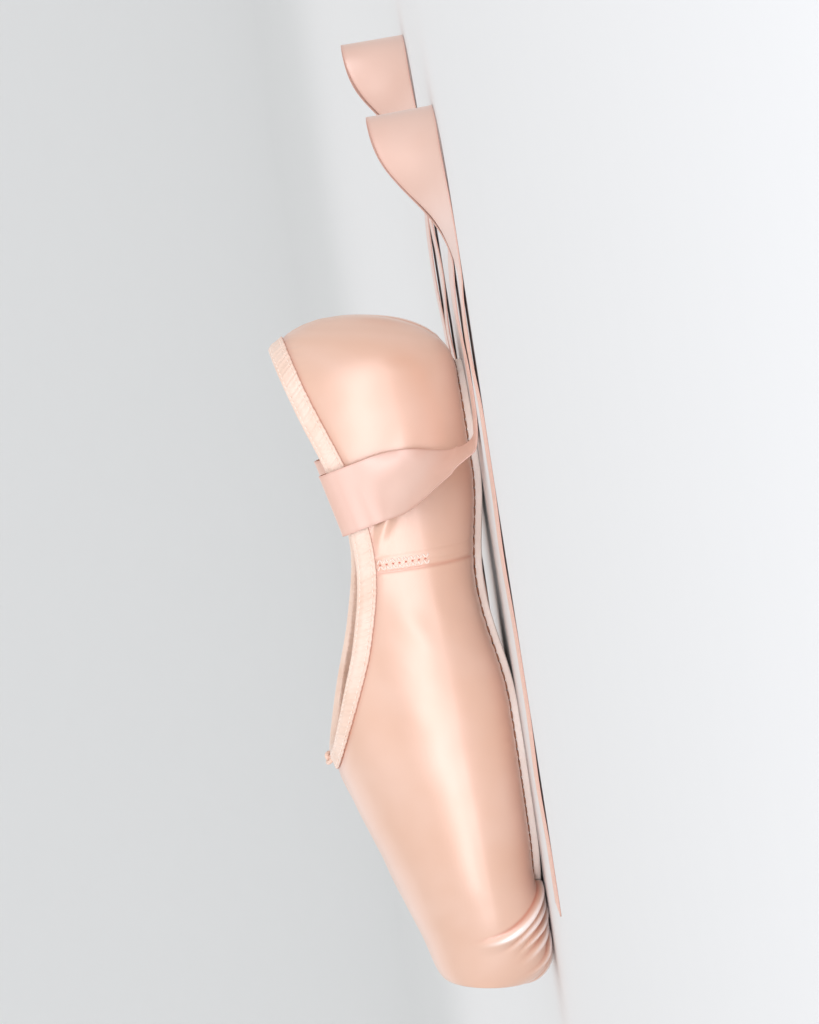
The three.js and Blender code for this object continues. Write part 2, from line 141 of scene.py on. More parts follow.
def slab(low, high):
    """The points and faces of a thin slab between two grids, closed at both ends."""
    ring = np.concatenate([low, high[:, ::-1]], axis=1)
    rows, columns = ring.shape[:2]
    faces = grid_faces(rows, columns, round_columns=True)
    for start in (0, (rows - 1) * columns):
        far = start + columns - 1
        for i in range(low.shape[1] - 1):
            faces.append([start + i, start + i + 1, far - 1 - i, far - i])
    return ring.reshape(-1, 3), faces


def make_piece(name, points, faces, finishes, stands_for=(), lay=None, finish_of=None):
    """A closed smooth mesh from points in millimetres, riding on the shoe."""
    weld_distance, shortest_edge = 2e-7, 1e-8
    mesh = bpy.data.meshes.new(name)
    mesh.from_pydata((np.asarray(points, float) * MM).tolist(), [], faces)
    if lay is not None:
        attribute = mesh.attributes.new("lay", "FLOAT_VECTOR", "POINT")
        attribute.data.foreach_set("vector", np.asarray(lay, np.float32).ravel())
    if finish_of is not None:
        mesh.polygons.foreach_set("material_index", np.asarray(finish_of, np.int32))
    for finish in finishes:
        mesh.materials.append(finish)
    shape = bmesh.new()
    shape.from_mesh(mesh)
    bmesh.ops.remove_doubles(shape, verts=shape.verts, dist=weld_distance)
    bmesh.ops.dissolve_degenerate(shape, edges=shape.edges, dist=shortest_edge)
    bmesh.ops.recalc_face_normals(shape, faces=shape.faces)
    for face in shape.faces:
        face.smooth = True
    open_edges = sum(1 for edge in shape.edges if len(edge.link_faces) != 2)
    shape.to_mesh(mesh)
    triangles = sum(len(face.verts) - 2 for face in shape.faces)
    shape.free()
    piece = bpy.data.objects.new(name, mesh)
    bpy.context.scene.collection.objects.link(piece)
    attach(piece, "root")
    if stands_for:
        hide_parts(*stands_for)
    print(f"{name}: {triangles} triangles, {open_edges} open edges")
    return piece


# %% [markdown]
# ## Helpers for materials
# Shader maths is easier to read as Python sums than as a web of nodes. A Wire stands for the
# output of a node, and adding or multiplying Wires adds the Math nodes. Every other node is
# made by one method of the Finish class, which sets the node's options first and then its
# inputs.

# %% Helpers for materials
class Wire:
    """An output of a node, on which sums may be done."""

    def __init__(self, finish, socket):
        self.finish = finish
        self.socket = socket

    def _sum(self, operation, *values):
        return self.finish.node("ShaderNodeMath", {"operation": operation}, dict(enumerate(values)))

    def __add__(self, other):
        return self._sum("ADD", self, other)

    __radd__ = __add__

    def __sub__(self, other):
        return self._sum("SUBTRACT", self, other)

    def __rsub__(self, other):
        return self._sum("SUBTRACT", other, self)

    def __mul__(self, other):
        return self._sum("MULTIPLY", self, other)

    __rmul__ = __mul__

    def wave(self, length):
        """A ripple from 0 to 1 that repeats after a length."""
        return self._sum("SINE", self * (2 * math.pi / length)) * 0.5 + 0.5

    def at_most(self, limit):
        return self._sum("MINIMUM", self, limit)

    def between(self, low, high):
        """0 below low, 1 above high and a soft rise from one to the other."""
        settings = {"interpolation_type": "SMOOTHSTEP"}
        sockets = {"Value": self, "From Min": low, "From Max": high}
        return self.finish.node("ShaderNodeMapRange", settings, sockets)


class Finish:
    """A material, with its Principled shader and the means to add nodes."""

    def __init__(self, name, **constants):
        self.material = bpy.data.materials.new(name)
        self.material.use_nodes = True
        self.tree = self.material.node_tree
        self.shader = self.tree.nodes["Principled BSDF"]
        for socket, value in constants.items():
            self.set(socket.replace("_", " "), value)

    def set(self, socket, value):
        self._feed(self.shader.inputs[socket], value)

    def _feed(self, socket, value):
        if isinstance(value, Wire):
            self.tree.links.new(value.socket, socket)
        elif isinstance(value, (tuple, list)) and socket.type == "RGBA" and len(value) == 3:
            socket.default_value = (*value, 1)
        else:
            socket.default_value = value

    def node(self, kind, settings=None, sockets=None, output=0):
        """Adds a node: its settings first, then the values or wires of its sockets."""
        node = self.tree.nodes.new(kind)
        for name, value in (settings or {}).items():
            setattr(node, name, value)
        for name, value in (sockets or {}).items():
            self._feed(node.inputs[name], value)
        return Wire(self, node.outputs[output])

    def mix(self, share, first, second):
        """A colour between two colours."""
        sockets = {0: share, 6: first, 7: second}
        return self.node("ShaderNodeMix", {"data_type": "RGBA"}, sockets, output=2)

    def parts(self, vector):
        split = self.node("ShaderNodeSeparateXYZ", None, {0: vector}).socket.node
        return [Wire(self, socket) for socket in split.outputs]

    def join(self, x, y, z=0.0):
        return self.node("ShaderNodeCombineXYZ", None, {0: x, 1: y, 2: z})

    def lay(self):
        """Along the cloth, across the cloth, and a mask, as stored on the mesh."""
        settings = {"attribute_name": "lay"}
        return self.parts(self.node("ShaderNodeAttribute", settings, output=1))

    def place(self):
        """Where a point is on the object, in millimetres."""
        where = self.node("ShaderNodeTexCoord", output=3)
        return self.node("ShaderNodeVectorMath", {"operation": "SCALE"}, {0: where, 3: 1 / MM})

    def noise(self, vector, size, detail=3.0, roughness=0.5):
        """Soft noise from 0 to 1 whose lumps are about size across."""
        sockets = {"Vector": vector, "Scale": 1 / size, "Detail": detail, "Roughness": roughness}
        return self.node("ShaderNodeTexNoise", None, sockets)

    def bump(self, height, depth, strength=1.0):
        """Feeds the normal with a height from 0 to 1, which is depth millimetres deep."""
        sockets = {"Height": height, "Distance": depth * MM, "Strength": strength}
        self.set("Normal", self.node("ShaderNodeBump", None, sockets))


def shade(red, green, blue):
    """A screen colour from 0 to 255, turned into the linear numbers that Blender uses."""
    return tuple(((channel / 255 + 0.055) / 1.055) ** 2.4 for channel in (red, green, blue))


# %% [markdown]
# ## Satin
# Satin shines because its warp threads float over many weft threads and lie side by side like
# combed hair. Its shine is broad and soft, never mirror-like. The colour is a peach pink that
# is nearly even, with darker lines along the seams. Painted shade darkens the pleat folds, a
# line under the casing's edge and the satin beside the sole, and a painted highlight makes the
# ridges of the pleats nearly white: the mask stored on the mesh is above 0 for the seams and the
# painted shade and below 0 for the painted highlight. The threads are far finer than a pixel,
# so they are a fine bump, with a few longer slubs.
# A thin coat gives the white gloss over the cloth's own coloured shine.

# %% Satin for the upper
SATIN = shade(227, 182, 157)
# the colour of the painted shade and of the seam lines
SATIN_SHADE_AND_SEAM = shade(204, 126, 100)
SATIN_PALE = shade(234, 195, 175)
# the colour of the painted highlight on the pleat ridges
SATIN_PAINTED_HIGHLIGHT = shade(255, 242, 236)
SATIN_ROUGHNESS, RIBBON_ROUGHNESS = 0.285, 0.34
SATIN_CLOUD_SIZE = 26.0
THREAD_PITCH, THREAD_DEPTH, THREAD_STRENGTH = 0.45, 0.03, 0.25
FLOAT_LENGTH, FLOAT_SLANT = 3.4 * THREAD_PITCH, 1.9


def satin_finish(name, colour, deep, pale, rough):
    finish = Finish(name, Metallic=0.13, Specular_IOR_Level=1.0, Sheen_Weight=0.15,
                    Sheen_Roughness=0.35, Sheen_Tint=shade(255, 226, 212),
                    Coat_Weight=0.55, Coat_Roughness=0.3)
    along, across, tone_and_painted_light = finish.lay()
    clouds = finish.noise(finish.join(along, across), SATIN_CLOUD_SIZE, detail=2.0)
    tone = finish.mix(clouds.between(0.3, 0.75) * 0.6, colour, pale)
    # painted shade in the pleat folds, under the casing's edge and beside the sole, and darker seam
    # lines
    tone = finish.mix(tone_and_painted_light.at_most(1.0) * 0.85, tone, deep)
    # painted highlight on the pleat ridges, where the mask is below 0
    tone = finish.mix((0 - tone_and_painted_light).between(0.0, 0.9) * 0.9, tone, SATIN_PAINTED_HIGHLIGHT)
    finish.set("Base Color", tone)
    slubs = finish.noise(finish.join(along * 0.06, across * 0.9), 1.0, detail=2.0)
    finish.set("Roughness", rough + 0.05 * clouds + 0.04 * slubs)
    threads = across.wave(THREAD_PITCH)
    float_ends = (along + FLOAT_SLANT * across).wave(FLOAT_LENGTH)
    weave = threads * (0.6 + 0.3 * float_ends) + 0.8 * slubs
    finish.bump(weave, THREAD_DEPTH, THREAD_STRENGTH)
    return finish.material


satin = satin_finish("satin", SATIN, SATIN_SHADE_AND_SEAM, SATIN_PALE, SATIN_ROUGHNESS)
ribbon_satin = satin_finish("ribbon_satin", shade(224, 182, 164), shade(206, 152, 134),
                            shade(230, 193, 177), RIBBON_ROUGHNESS)
print("satin made, with threads every", THREAD_PITCH, "mm")

# %% [markdown]
# ## The other cloths, threads and leathers
# The drawstring casing is cut on the bias from the same cloth with its dull side out, so it
# is paler and softer. The lining and the sock are plain woven cotton: two crossed ripples
# make a plain weave. The outsole is buffed leather, greyish, with a short nap, and its cut
# edge is smoother and paler.

# %% Casing, cotton and thread
COTTON_BLOT_SIZE, COTTON_NUB_SIZE, COTTON_DEPTH = 22.0, 0.8, 0.1
LINING_PITCH, SOCK_PITCH = 0.7, 0.9
LINING_ROUGHNESS, SOCK_ROUGHNESS = 0.8, 0.82
CASING_CLOUD_SIZE, CASING_BIAS_PITCH, CREPE_DEPTH = 12.0, 0.45, 0.16
TWIST_PITCH, TWIST_DEPTH = 0.42, 0.03


def cotton_finish(name, colour, deep, pitch, rough):
    finish = Finish(name, Specular_IOR_Level=0.3, Sheen_Weight=0.2, Sheen_Roughness=0.5)
    across_x, across_y, up = finish.parts(finish.place())
    first = (across_x + 0.31 * up).wave(pitch)
    second = (across_y + 0.87 * up).wave(pitch)
    over = first * (1 - second) + second * (1 - first)
    blots = finish.noise(finish.place(), COTTON_BLOT_SIZE, detail=2.0)
    nubs = finish.noise(finish.place(), COTTON_NUB_SIZE, detail=2.0)
    tone = finish.mix(blots.between(0.3, 0.8) * 0.4, colour, deep)
    tone = finish.mix((1 - over) * 0.2 + 0.2 * nubs, tone, deep)
    finish.set("Base Color", tone)
    finish.set("Roughness", rough + 0.06 * blots)
    finish.bump(over + 0.3 * nubs, COTTON_DEPTH, strength=0.5)
    return finish.material


def casing_finish():
    finish = Finish("casing_cloth", Metallic=0.12, Specular_IOR_Level=0.6, Sheen_Weight=0.3,
                    Sheen_Roughness=0.4)
    along, down, tone_and_painted_light = finish.lay()
    crepe = finish.noise(finish.join(along * 1.9, down * 0.6), 1.0, detail=4.0)
    clouds = finish.noise(finish.join(along, down), CASING_CLOUD_SIZE, detail=2.0)
    tone = finish.mix(clouds.between(0.35, 0.7), shade(244, 217, 200), shade(238, 206, 186))
    tone = finish.mix(crepe.between(0.55, 0.8) * 0.4, tone, shade(238, 190, 164))
    # painted shadow along the casing's lower edge, from the mask stored on the mesh
    tone = finish.mix(tone_and_painted_light.at_most(1.0) * 0.85, tone, shade(226, 168, 146))
    finish.set("Base Color", tone)
    finish.set("Roughness", 0.38 + 0.14 * crepe)
    bias = (along + down).wave(CASING_BIAS_PITCH) * (along - down).wave(CASING_BIAS_PITCH)
    finish.bump(crepe + 0.25 * bias, CREPE_DEPTH, strength=0.6)
    return finish.material


def thread_finish(name, colour, deep):
    finish = Finish(name, Specular_IOR_Level=0.45, Sheen_Weight=0.2)
    across_x, across_y, up = finish.parts(finish.place())
    twist = (across_x + across_y + up * 1.3).wave(TWIST_PITCH)
    finish.set("Base Color", finish.mix(twist * 0.6, colour, deep))
    finish.set("Roughness", 0.5 + 0.1 * twist)
    finish.bump(twist, TWIST_DEPTH, strength=0.4)
    return finish.material


lining_cotton = cotton_finish("lining_cotton", shade(250, 234, 220), shade(234, 210, 192),
                              LINING_PITCH, LINING_ROUGHNESS)
sock_cotton = cotton_finish("sock_cotton", shade(246, 224, 210), shade(228, 198, 180),
                            SOCK_PITCH, SOCK_ROUGHNESS)
casing_cloth = casing_finish()
pale_thread = thread_finish("pale_thread", shade(255, 240, 228), shade(244, 208, 188))
# its darker colour is painted shade for the needle holes between the zigzag rows
seam_thread_painted_shade = thread_finish("seam_thread_painted_shade", shade(222, 140, 118), shade(190, 104, 84))
brown_thread = thread_finish("brown_thread", shade(176, 122, 92), shade(128, 82, 58))
cord_cotton = thread_finish("cord_cotton", shade(244, 214, 196), shade(216, 170, 146))


# %% Leather for the outsole
STROKE_STRETCH, STROKE_SIZE, STROKE_COLOUR = 0.12, 2.2, shade(240, 228, 214)
PATCH_SIZE, NAP_DEPTH = 24.0, 0.14


def leather_finish(name, colour, deep, nap_size, rough):
    finish = Finish(name, Specular_IOR_Level=0.28, Sheen_Weight=0.25, Sheen_Roughness=0.6)
    where = finish.place()
    nap = finish.noise(where, nap_size, detail=6.0, roughness=0.65)
    brushed = finish.node("ShaderNodeVectorMath", {"operation": "MULTIPLY"},
                          {0: where, 1: (STROKE_STRETCH, 1.0, 1.0)})
    strokes = finish.noise(brushed, STROKE_SIZE, detail=3.0)
    patches = finish.noise(where, PATCH_SIZE, detail=3.0)
    tone = finish.mix(patches.between(0.35, 0.7), colour, deep)
    tone = finish.mix(nap.between(0.45, 0.75) * 0.45, tone, deep)
    tone = finish.mix(strokes.between(0.5, 0.8) * 0.3, tone, STROKE_COLOUR)
    finish.set("Base Color", tone)
    finish.set("Roughness", rough + 0.1 * nap)
    finish.bump(nap + 0.5 * strokes, NAP_DEPTH, strength=0.7)
    return finish.material


buffed_leather = leather_finish("buffed_leather", shade(226, 212, 200), shade(206, 188, 174),
                                nap_size=0.5, rough=0.82)
leather_edge = leather_finish("leather_edge", shade(252, 240, 230), shade(240, 220, 206),
                              nap_size=0.9, rough=0.6)
print("materials:", len(bpy.data.materials))

# %% [markdown]
# ## The ribbons
# Each ribbon is a strip of double-faced satin, 22 mm wide and 500 mm long. One end is sewn
# inside the quarter. The ribbon comes up over the casing, falls down the outside, turns over
# and lies loose on the floor. Cloth simulation could drop it, but a listed route keeps it
# exactly where the CAD model has it, so the route's rows are repeated here: the place of the
# middle line, the height of the lower edge, the heading of the width and how far it stands
# on edge.

# %% The ribbons' routes
RIBBON_FALL = [
    (-61.5, 27.9, 28.5, 2, -13),
    (-59.6, 27.1, 36.5, 2, -13),
    (-57.8, 25.3, 44, 2, -13),
    (-56.9, 25.1, 48, 2, -13),
    (-56.5, 27.6, 50, 2, -13),
    (-56.8, 29.9, 48.8, 2, -13),
    (-57.8, 31.1, 45, 2, -13),
    (-59.1, 32.1, 39.5, 2, -13),
    (-60.7, 33.6, 32.7, 5, -12),
    (-62.2, 36.8, 25.5, 28, -8),
    (-63.8, 41, 17.7, 58, -4),
    (-67, 44.6, 9.6, 80, 0),
    (-74, 47.1, 3.2, 88, 0),
]
LEFT_REST = [
    (-85, 49, 0.8, 86, 0),
    (-101, 51, 1.4, 84, 0),
    (-119, 53, 3.4, 85, 0),
    (-136, 54.3, 1.2, 84, 0),
    (-151, 56.2, 0.8, 79, 12),
    (-166, 60, 0.8, 70, 38),
    (-178.5, 66.5, 0.8, 52, 68),
    (-186.5, 77, 0.8, 20, 86),
    (-187, 89.5, 0.8, -16, 86),
    (-179.5, 100, 0.8, -50, 68),
    (-167, 106, 0.8, -72, 38),
    (-151.5, 108.5, 0.8, -84, 12),
    (-132, 108.5, 1.2, -91, 0),
    (-111, 107.3, 3, -93, 0),
    (-89, 106, 0.9, -92, 0),
    (-64, 105.2, 0.8, -90, 0),
    (-39, 105.7, 1.8, -87, 0),
    (-13, 107.3, 0.9, -86, 0),
    (12, 109, 0.8, -87, 0),
    (36, 109.9, 1.9, -90, 0),
    (59, 109.4, 0.8, -92, 0),
    (79, 108.4, 0.8, -94, 0),
]
RIGHT_REST = [
    (-86, 48.7, 0.8, 87, 0),
    (-104, 50, 2.8, 84, 0),
    (-123, 52.5, 1, 82, 0),
    (-143, 56, 2.8, 80, 0),
    (-162, 59.5, 1, 79, 2),
    (-178, 62.5, 0.8, 76, 22),
    (-193, 67, 0.8, 66, 54),
    (-204, 75, 0.8, 36, 84),
    (-206, 87, 0.8, -14, 88),
    (-197, 97, 0.8, -58, 70),
    (-182, 102, 0.8, -78, 34),
    (-164, 104, 0.8, -86, 8),
    (-142, 104.5, 1.6, -92, 0),
    (-119, 103, 3, -94, 0),
    (-96, 101.5, 1, -92, 0),
    (-71, 101.5, 0.8, -88, 0),
    (-45, 103, 0.8, -86, 0),
    (-20, 105, 2, -85, 0),
    (3, 107, 0.8, -86, 0),
    (25, 108, 0.8, -89, 0),
    (46.5, 107.8, 0.8, -92, 0),
]
RIBBON_WIDTH = 22
RIBBON_STEPS = 420
RIBBON_COLUMNS = 29
RIBBON_HALF_THICKNESS = 0.17
RIBBON_LOWEST, RIBBON_CAD_LOWEST, RIBBON_WAVES = 0.26, 0.8, 0.5
LET_DOWN_FROM, LET_DOWN_TO = 9, 3.5
COLUMN_CROWDING = 0.96 * np.pi / 2
SELVEDGE_WIDTH, SELVEDGE_RISE, SELVEDGE_ROUNDING, SELVEDGE_TONE = 1.1, 0.16, 0.6, 0.6
RIBBON_LAY_START = 40


def along_route(rows, share):
    """The route's columns at shares of its rows, on a smooth curve through them."""
    rows = np.array(rows, float)
    place = share * (len(rows) - 1)
    row = np.clip(np.floor(place).astype(int), 0, len(rows) - 2)
    t = (place - row)[:, None]
    before, start, end, after = (
        rows[np.clip(row + step, 0, len(rows) - 1)] for step in (-1, 0, 1, 2)
    )
    cubic = 3 * start - before - 3 * end + after
    square = 2 * before - 5 * start + 4 * end - after
    return start + t / 2 * (end - before + t * (square + t * cubic))


def ribbon_middle(rows, share):
    """The middle line, let down from the thicker CAD ribbon's height onto the floor."""
    place = along_route(rows, share)
    standing = RIBBON_WIDTH / 2 * np.abs(np.sin(np.radians(place[:, 4])))
    height = place[:, 2]
    on_floor = RIBBON_LOWEST + RIBBON_WAVES * np.maximum(height - RIBBON_CAD_LOWEST, 0)
    height = height + smoothstep(LET_DOWN_FROM, LET_DOWN_TO, height) * (on_floor - height) + standing
    return np.stack([place[:, 0], place[:, 1], height], -1)


# %% Weave the ribbons
def ribbon_directions(rows):
    """The middle line, the directions across and through, and the length so far."""
    share = np.linspace(0, 1, RIBBON_STEPS)
    near = 0.002
    place = along_route(rows, share)
    middle = ribbon_middle(rows, share)
    along = unit(ribbon_middle(rows, np.minimum(share + near, 1))
                 - ribbon_middle(rows, np.maximum(share - near, 0)))
    heading, on_edge = np.radians(place[:, 3]), np.radians(place[:, 4])
    wide = np.stack([np.cos(heading), np.sin(heading), np.tan(on_edge)], -1)
    wide = unit(wide - along * (wide * along).sum(-1, keepdims=True))
    thick = np.cross(along, wide)
    return middle, wide, thick, run_along(middle)


def make_ribbon(name, rest, side):
    middle, wide, thick, travelled = ribbon_directions(RIBBON_FALL + rest)
    crowded = np.sin(np.linspace(-1, 1, RIBBON_COLUMNS) * COLUMN_CROWDING)
    across = crowded / np.sin(COLUMN_CROWDING) * RIBBON_WIDTH / 2
    selvedge = smoothstep(RIBBON_WIDTH / 2 - SELVEDGE_WIDTH, RIBBON_WIDTH / 2, np.abs(across))
    rise = SELVEDGE_RISE * selvedge * (1 - SELVEDGE_ROUNDING * selvedge)
    to_face = thick[:, None] * (RIBBON_HALF_THICKNESS + rise)[None, :, None]
    cloth = middle[:, None] + wide[:, None] * across[None, :, None]
    mirror = np.array([1, side, 1])
    points, faces = slab((cloth + to_face) * mirror, (cloth - to_face) * mirror)
    lay_across = np.concatenate([across, across[::-1]])
    edge_mask = np.concatenate([selvedge, selvedge[::-1]]) * SELVEDGE_TONE
    lay = np.stack(np.broadcast_arrays(
        travelled[:, None], lay_across[None, :] + RIBBON_LAY_START, edge_mask[None, :]), -1)
    piece = make_piece(name, points, faces, [ribbon_satin], lay=lay.reshape(-1, 3))
    print(f"{name}: {travelled[-1]:.0f} mm along its middle")
    return piece


for name, node, rest, side in (
    ("woven_ribbon_left", "ribbon_left", LEFT_REST, 1),
    ("woven_ribbon_right", "ribbon_right", RIGHT_REST, -1),
):
    ribbon = make_ribbon(name, rest, side)
    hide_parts(node)

# %% [markdown]
# ## The form of the last
# A shoe is pulled over a wooden form called the last. Its outside is described by sections:
# how wide the shoe is, how wide its flat seat is, and how high its widest place and its top
# are. These are the same sections as in the CAD model, so the satin lands where it should.

# %% Sections of the last
HEEL_ROUND_X, HEEL_ROUND_DEPTH, HEEL_BULGE_Z = -96, 22, 43
TOE_ROUND_X, TOE_ROUND_DEPTH = 106, 12
PLATFORM = {"half": 25.5, "seat": 12, "low": 12.7, "widest": 24, "top": 37.2}
PLATFORM_LEAN = math.tan(math.radians(9))
LEAN_STARTS_X = 70
SIDE_POWER, LOW_POWER, TOP_BLEND_POWER = 3, 1.8, 4
TOP_POWER = 2.3
QUARTER_WALL, BOX_WALL, PLEAT_WALL, HEEL_WALL = 2, 3, 5, 2.3
SOLE_THICKNESS, SOLE_GAP = 2.7, 0.3

# x, half width, half width of the seat, height of the widest place, height of the top
FORM = np.array([
    (-118, 24.5, 9, 28, 70),
    (-96, 28.8, 15, 27, 73.5),
    (-80, 30.8, 19.5, 26, 76),
    (-60, 31.2, 19, 25, 76),
    (-35, 33, 16.5, 24, 73),
    (-10, 38.6, 20, 23, 70.2),
    (10, 42.4, 26.5, 22, 68),
    (30, 43.8, 30, 22, 65.4),
    (50, 43.5, 28, 21, 59.7),
    (70, 41.6, 23, 20, 53.2),
    (90, 37.2, 17.5, 19.5, 48),
    (106, 31.6, 15, 20.5, 43.3),
    (118, 26.6, 13, 22, 40.4),
], float)
FORM_HALF, FORM_SEAT, FORM_WIDEST, FORM_TOP = 1, 2, 3, 4

# x, height of the collar's edge, depth of the casing measured straight down
COLLAR = np.array([
    (-124, 66.4, 6.5),
    (-110, 65, 6.5),
    (-90, 59.6, 6.5),
    (-60, 50, 6.5),
    (-35, 47.2, 6.5),
    (-10, 52.2, 6.3),
    (10, 59, 5.4),
    (30, 65.4, 3.8),
    (50, 71.8, 3.8),
], float)
COLLAR_EDGE, COLLAR_BAND = 1, 2


def read_table(table, column, x):
    """A column of a table at x, on a smooth curve through its rows."""
    places, values = table[:, 0], table[:, column]
    before = np.maximum(np.arange(len(places)) - 1, 0)
    after = np.minimum(np.arange(len(places)) + 1, len(places) - 1)
    slopes = (values[after] - values[before]) / (places[after] - places[before])
    row = np.clip(np.searchsorted(places, x, side="right") - 1, 0, len(places) - 2)
    span = places[row + 1] - places[row]
    t = np.clip((x - places[row]) / span, 0, 1)
    rise = t * t * (3 - 2 * t)
    from_start = span * slopes[row] * t * (1 - t) ** 2
    from_end = span * slopes[row + 1] * t * t * (t - 1)
    return values[row] + rise * (values[row + 1] - values[row]) + from_start + from_end


ARCH_RISE, ARCH_BACK, ARCH_LENGTH = 4.6, -62, 82
TIP_SPRING_FROM, TIP_SPRING_TO = 66, 90
PLEAT_DROP, PLEAT_DROP_FROM, PLEAT_DROP_TO = 1.9, 76, 93
BOX_STARTS, BOX_FULL = 5, 45
PLEAT_WALL_STARTS, PLEAT_WALL_FULL = 60, 85


def sole_under(x):
    """Underside of the outsole: flat, arched at the waist, with a little spring at the tip."""
    arch = ARCH_RISE * np.sin(np.pi * np.clip((x - ARCH_BACK) / ARCH_LENGTH, 0, 1)) ** 2
    return arch + smoothstep(TIP_SPRING_FROM, TIP_SPRING_TO, x)


def upper_under(x):
    drop = PLEAT_DROP * smoothstep(PLEAT_DROP_FROM, PLEAT_DROP_TO, x)
    return sole_under(x) + SOLE_THICKNESS + SOLE_GAP - drop


def side_wall(x):
    return QUARTER_WALL + (BOX_WALL - QUARTER_WALL) * smoothstep(BOX_STARTS, BOX_FULL, x)


def under_wall(x):
    share = smoothstep(PLEAT_WALL_STARTS, PLEAT_WALL_FULL, x)
    return QUARTER_WALL + (PLEAT_WALL - QUARTER_WALL) * share


def collar_height(x):
    return read_table(COLLAR, COLLAR_EDGE, x)


def leaned(x, z):
    """Tips the sections near the toe back, as the platform leans."""
    return x - (z - PLATFORM["low"]) * PLATFORM_LEAN * smoothstep(LEAN_STARTS_X, TOE_ROUND_X, x)


def plain_sections(x, inside):
    """Columns of x, half, seat, low, widest and top, before the ends are rounded."""
    side = side_wall(x) * inside
    return np.stack([
        x,
        read_table(FORM, FORM_HALF, x) - side,
        read_table(FORM, FORM_SEAT, x),
        upper_under(x) + under_wall(x) * inside,
        read_table(FORM, FORM_WIDEST, x),
        read_table(FORM, FORM_TOP, x) - side,
    ], -1)


def heel_sections(angles, inside):
    """Sections of the round back, shrunk towards the heel's furthest point."""
    depth = HEEL_ROUND_DEPTH - HEEL_WALL * inside
    found = plain_sections(HEEL_ROUND_X - depth * np.cos(angles), inside)
    share = np.sin(angles)[:, None]
    found[:, 1:3] *= share
    found[:, 3:] = HEEL_BULGE_Z + share * (found[:, 3:] - HEEL_BULGE_Z)
    return found


def toe_sections(angles, inside):
    """Sections of the rounding between the box and the flat platform."""
    into = np.sin(angles)
    found = plain_sections(TOE_ROUND_X + (TOE_ROUND_DEPTH - BOX_WALL * inside) * into, inside)
    inset = side_wall(found[:, 0]) * inside
    flats = [
        (1, PLATFORM["half"] - inset, SIDE_POWER),
        (2, PLATFORM["seat"], SIDE_POWER),
        (3, PLATFORM["low"] + inset, LOW_POWER),
        (4, PLATFORM["widest"], LOW_POWER),
        (5, PLATFORM["top"] - inset, TOP_BLEND_POWER),
    ]
    for column, flat, power in flats:
        keep = np.maximum(1 - into ** power, 0) ** (1 / power)
        found[:, column] = flat + keep * (found[:, column] - flat)
    return found


# %% Where the collar opens
RIM_DEPTH = 1.6


def crossing(function, start, end):
    """Where a function changes sign, by halving."""
    rising = function(end) > function(start)
    for _ in range(50):
        middle = (start + end) / 2
        if (function(middle) > 0) == rising:
            end = middle
        else:
            start = middle
    return (start + end) / 2


def rim_height(x):
    return collar_height(x) - RIM_DEPTH


def heel_top_over_rim(angle):
    section = heel_sections(np.array([angle]), 0)[0]
    return section[-1] - rim_height(section[0])


def throat_top_over_rim(x):
    return read_table(FORM, FORM_TOP, np.float64(x)) - rim_height(x)


heel_opens = crossing(heel_top_over_rim, 0.3, np.pi / 2)
throat_closes = crossing(throat_top_over_rim, 10.0, 50.0)
print("the throat closes at x =", round(float(throat_closes), 1))

# %% [markdown]
# ## The satin upper
# The real upper is satin over canvas and a lining, stiffened with paste at the toe. It is one
# hollow wall: satin outside, cotton inside, joined at the rim under the casing. The wall is a
# grid of rings from heel to toe. The rings stand closer at the throat, at the heel, at the
# side seam and under the toe, where the shape turns quickly or is pleated. The pleats, seams
# and soft creases are real relief, pushed out along the surface.

# %% Rings along the shoe
SEAM_X = -32.0
SEAM_BAND = 4.8


def spaced(start, end, count):
    return np.linspace(start, end, count, endpoint=False)


HEEL_FIRST_ANGLE = 0.04
THROAT_START_X, PLEAT_RINGS_X = 6, 78
heel_angles = np.concatenate([
    spaced(HEEL_FIRST_ANGLE, heel_opens, 24),
    heel_opens + (np.pi / 2 - heel_opens) * np.linspace(0, 1, 24) ** 2,
])
body_x = np.concatenate([
    spaced(HEEL_ROUND_X + 1.8, SEAM_X - 7, 32),
    spaced(SEAM_X - 7, SEAM_X + 2, 24),
    spaced(SEAM_X + 2, THROAT_START_X, 20),
    throat_closes - (throat_closes - THROAT_START_X) * np.linspace(1, 0, 26) ** 2,
    spaced(throat_closes + 1.2, PLEAT_RINGS_X, 24),
    spaced(PLEAT_RINGS_X, TOE_ROUND_X, 60),
])
toe_angles = np.linspace(0, np.pi / 2, 22)
face_shares = 1 - np.linspace(0, 0.95, 12)[1:]


def all_sections(inside):
    face = np.repeat(toe_sections(np.array([np.pi / 2]), inside), len(face_shares), axis=0)
    face[:, 1:3] *= face_shares[:, None]
    middle = PLATFORM["widest"]
    face[:, 3:] = middle + face_shares[:, None] * (face[:, 3:] - middle)
    return np.concatenate([
        heel_sections(heel_angles, inside),
        plain_sections(body_x, inside),
        toe_sections(toe_angles, inside),
        face,
    ])


DOME_CROWDING = 1.35
SHUT = np.pi / 2


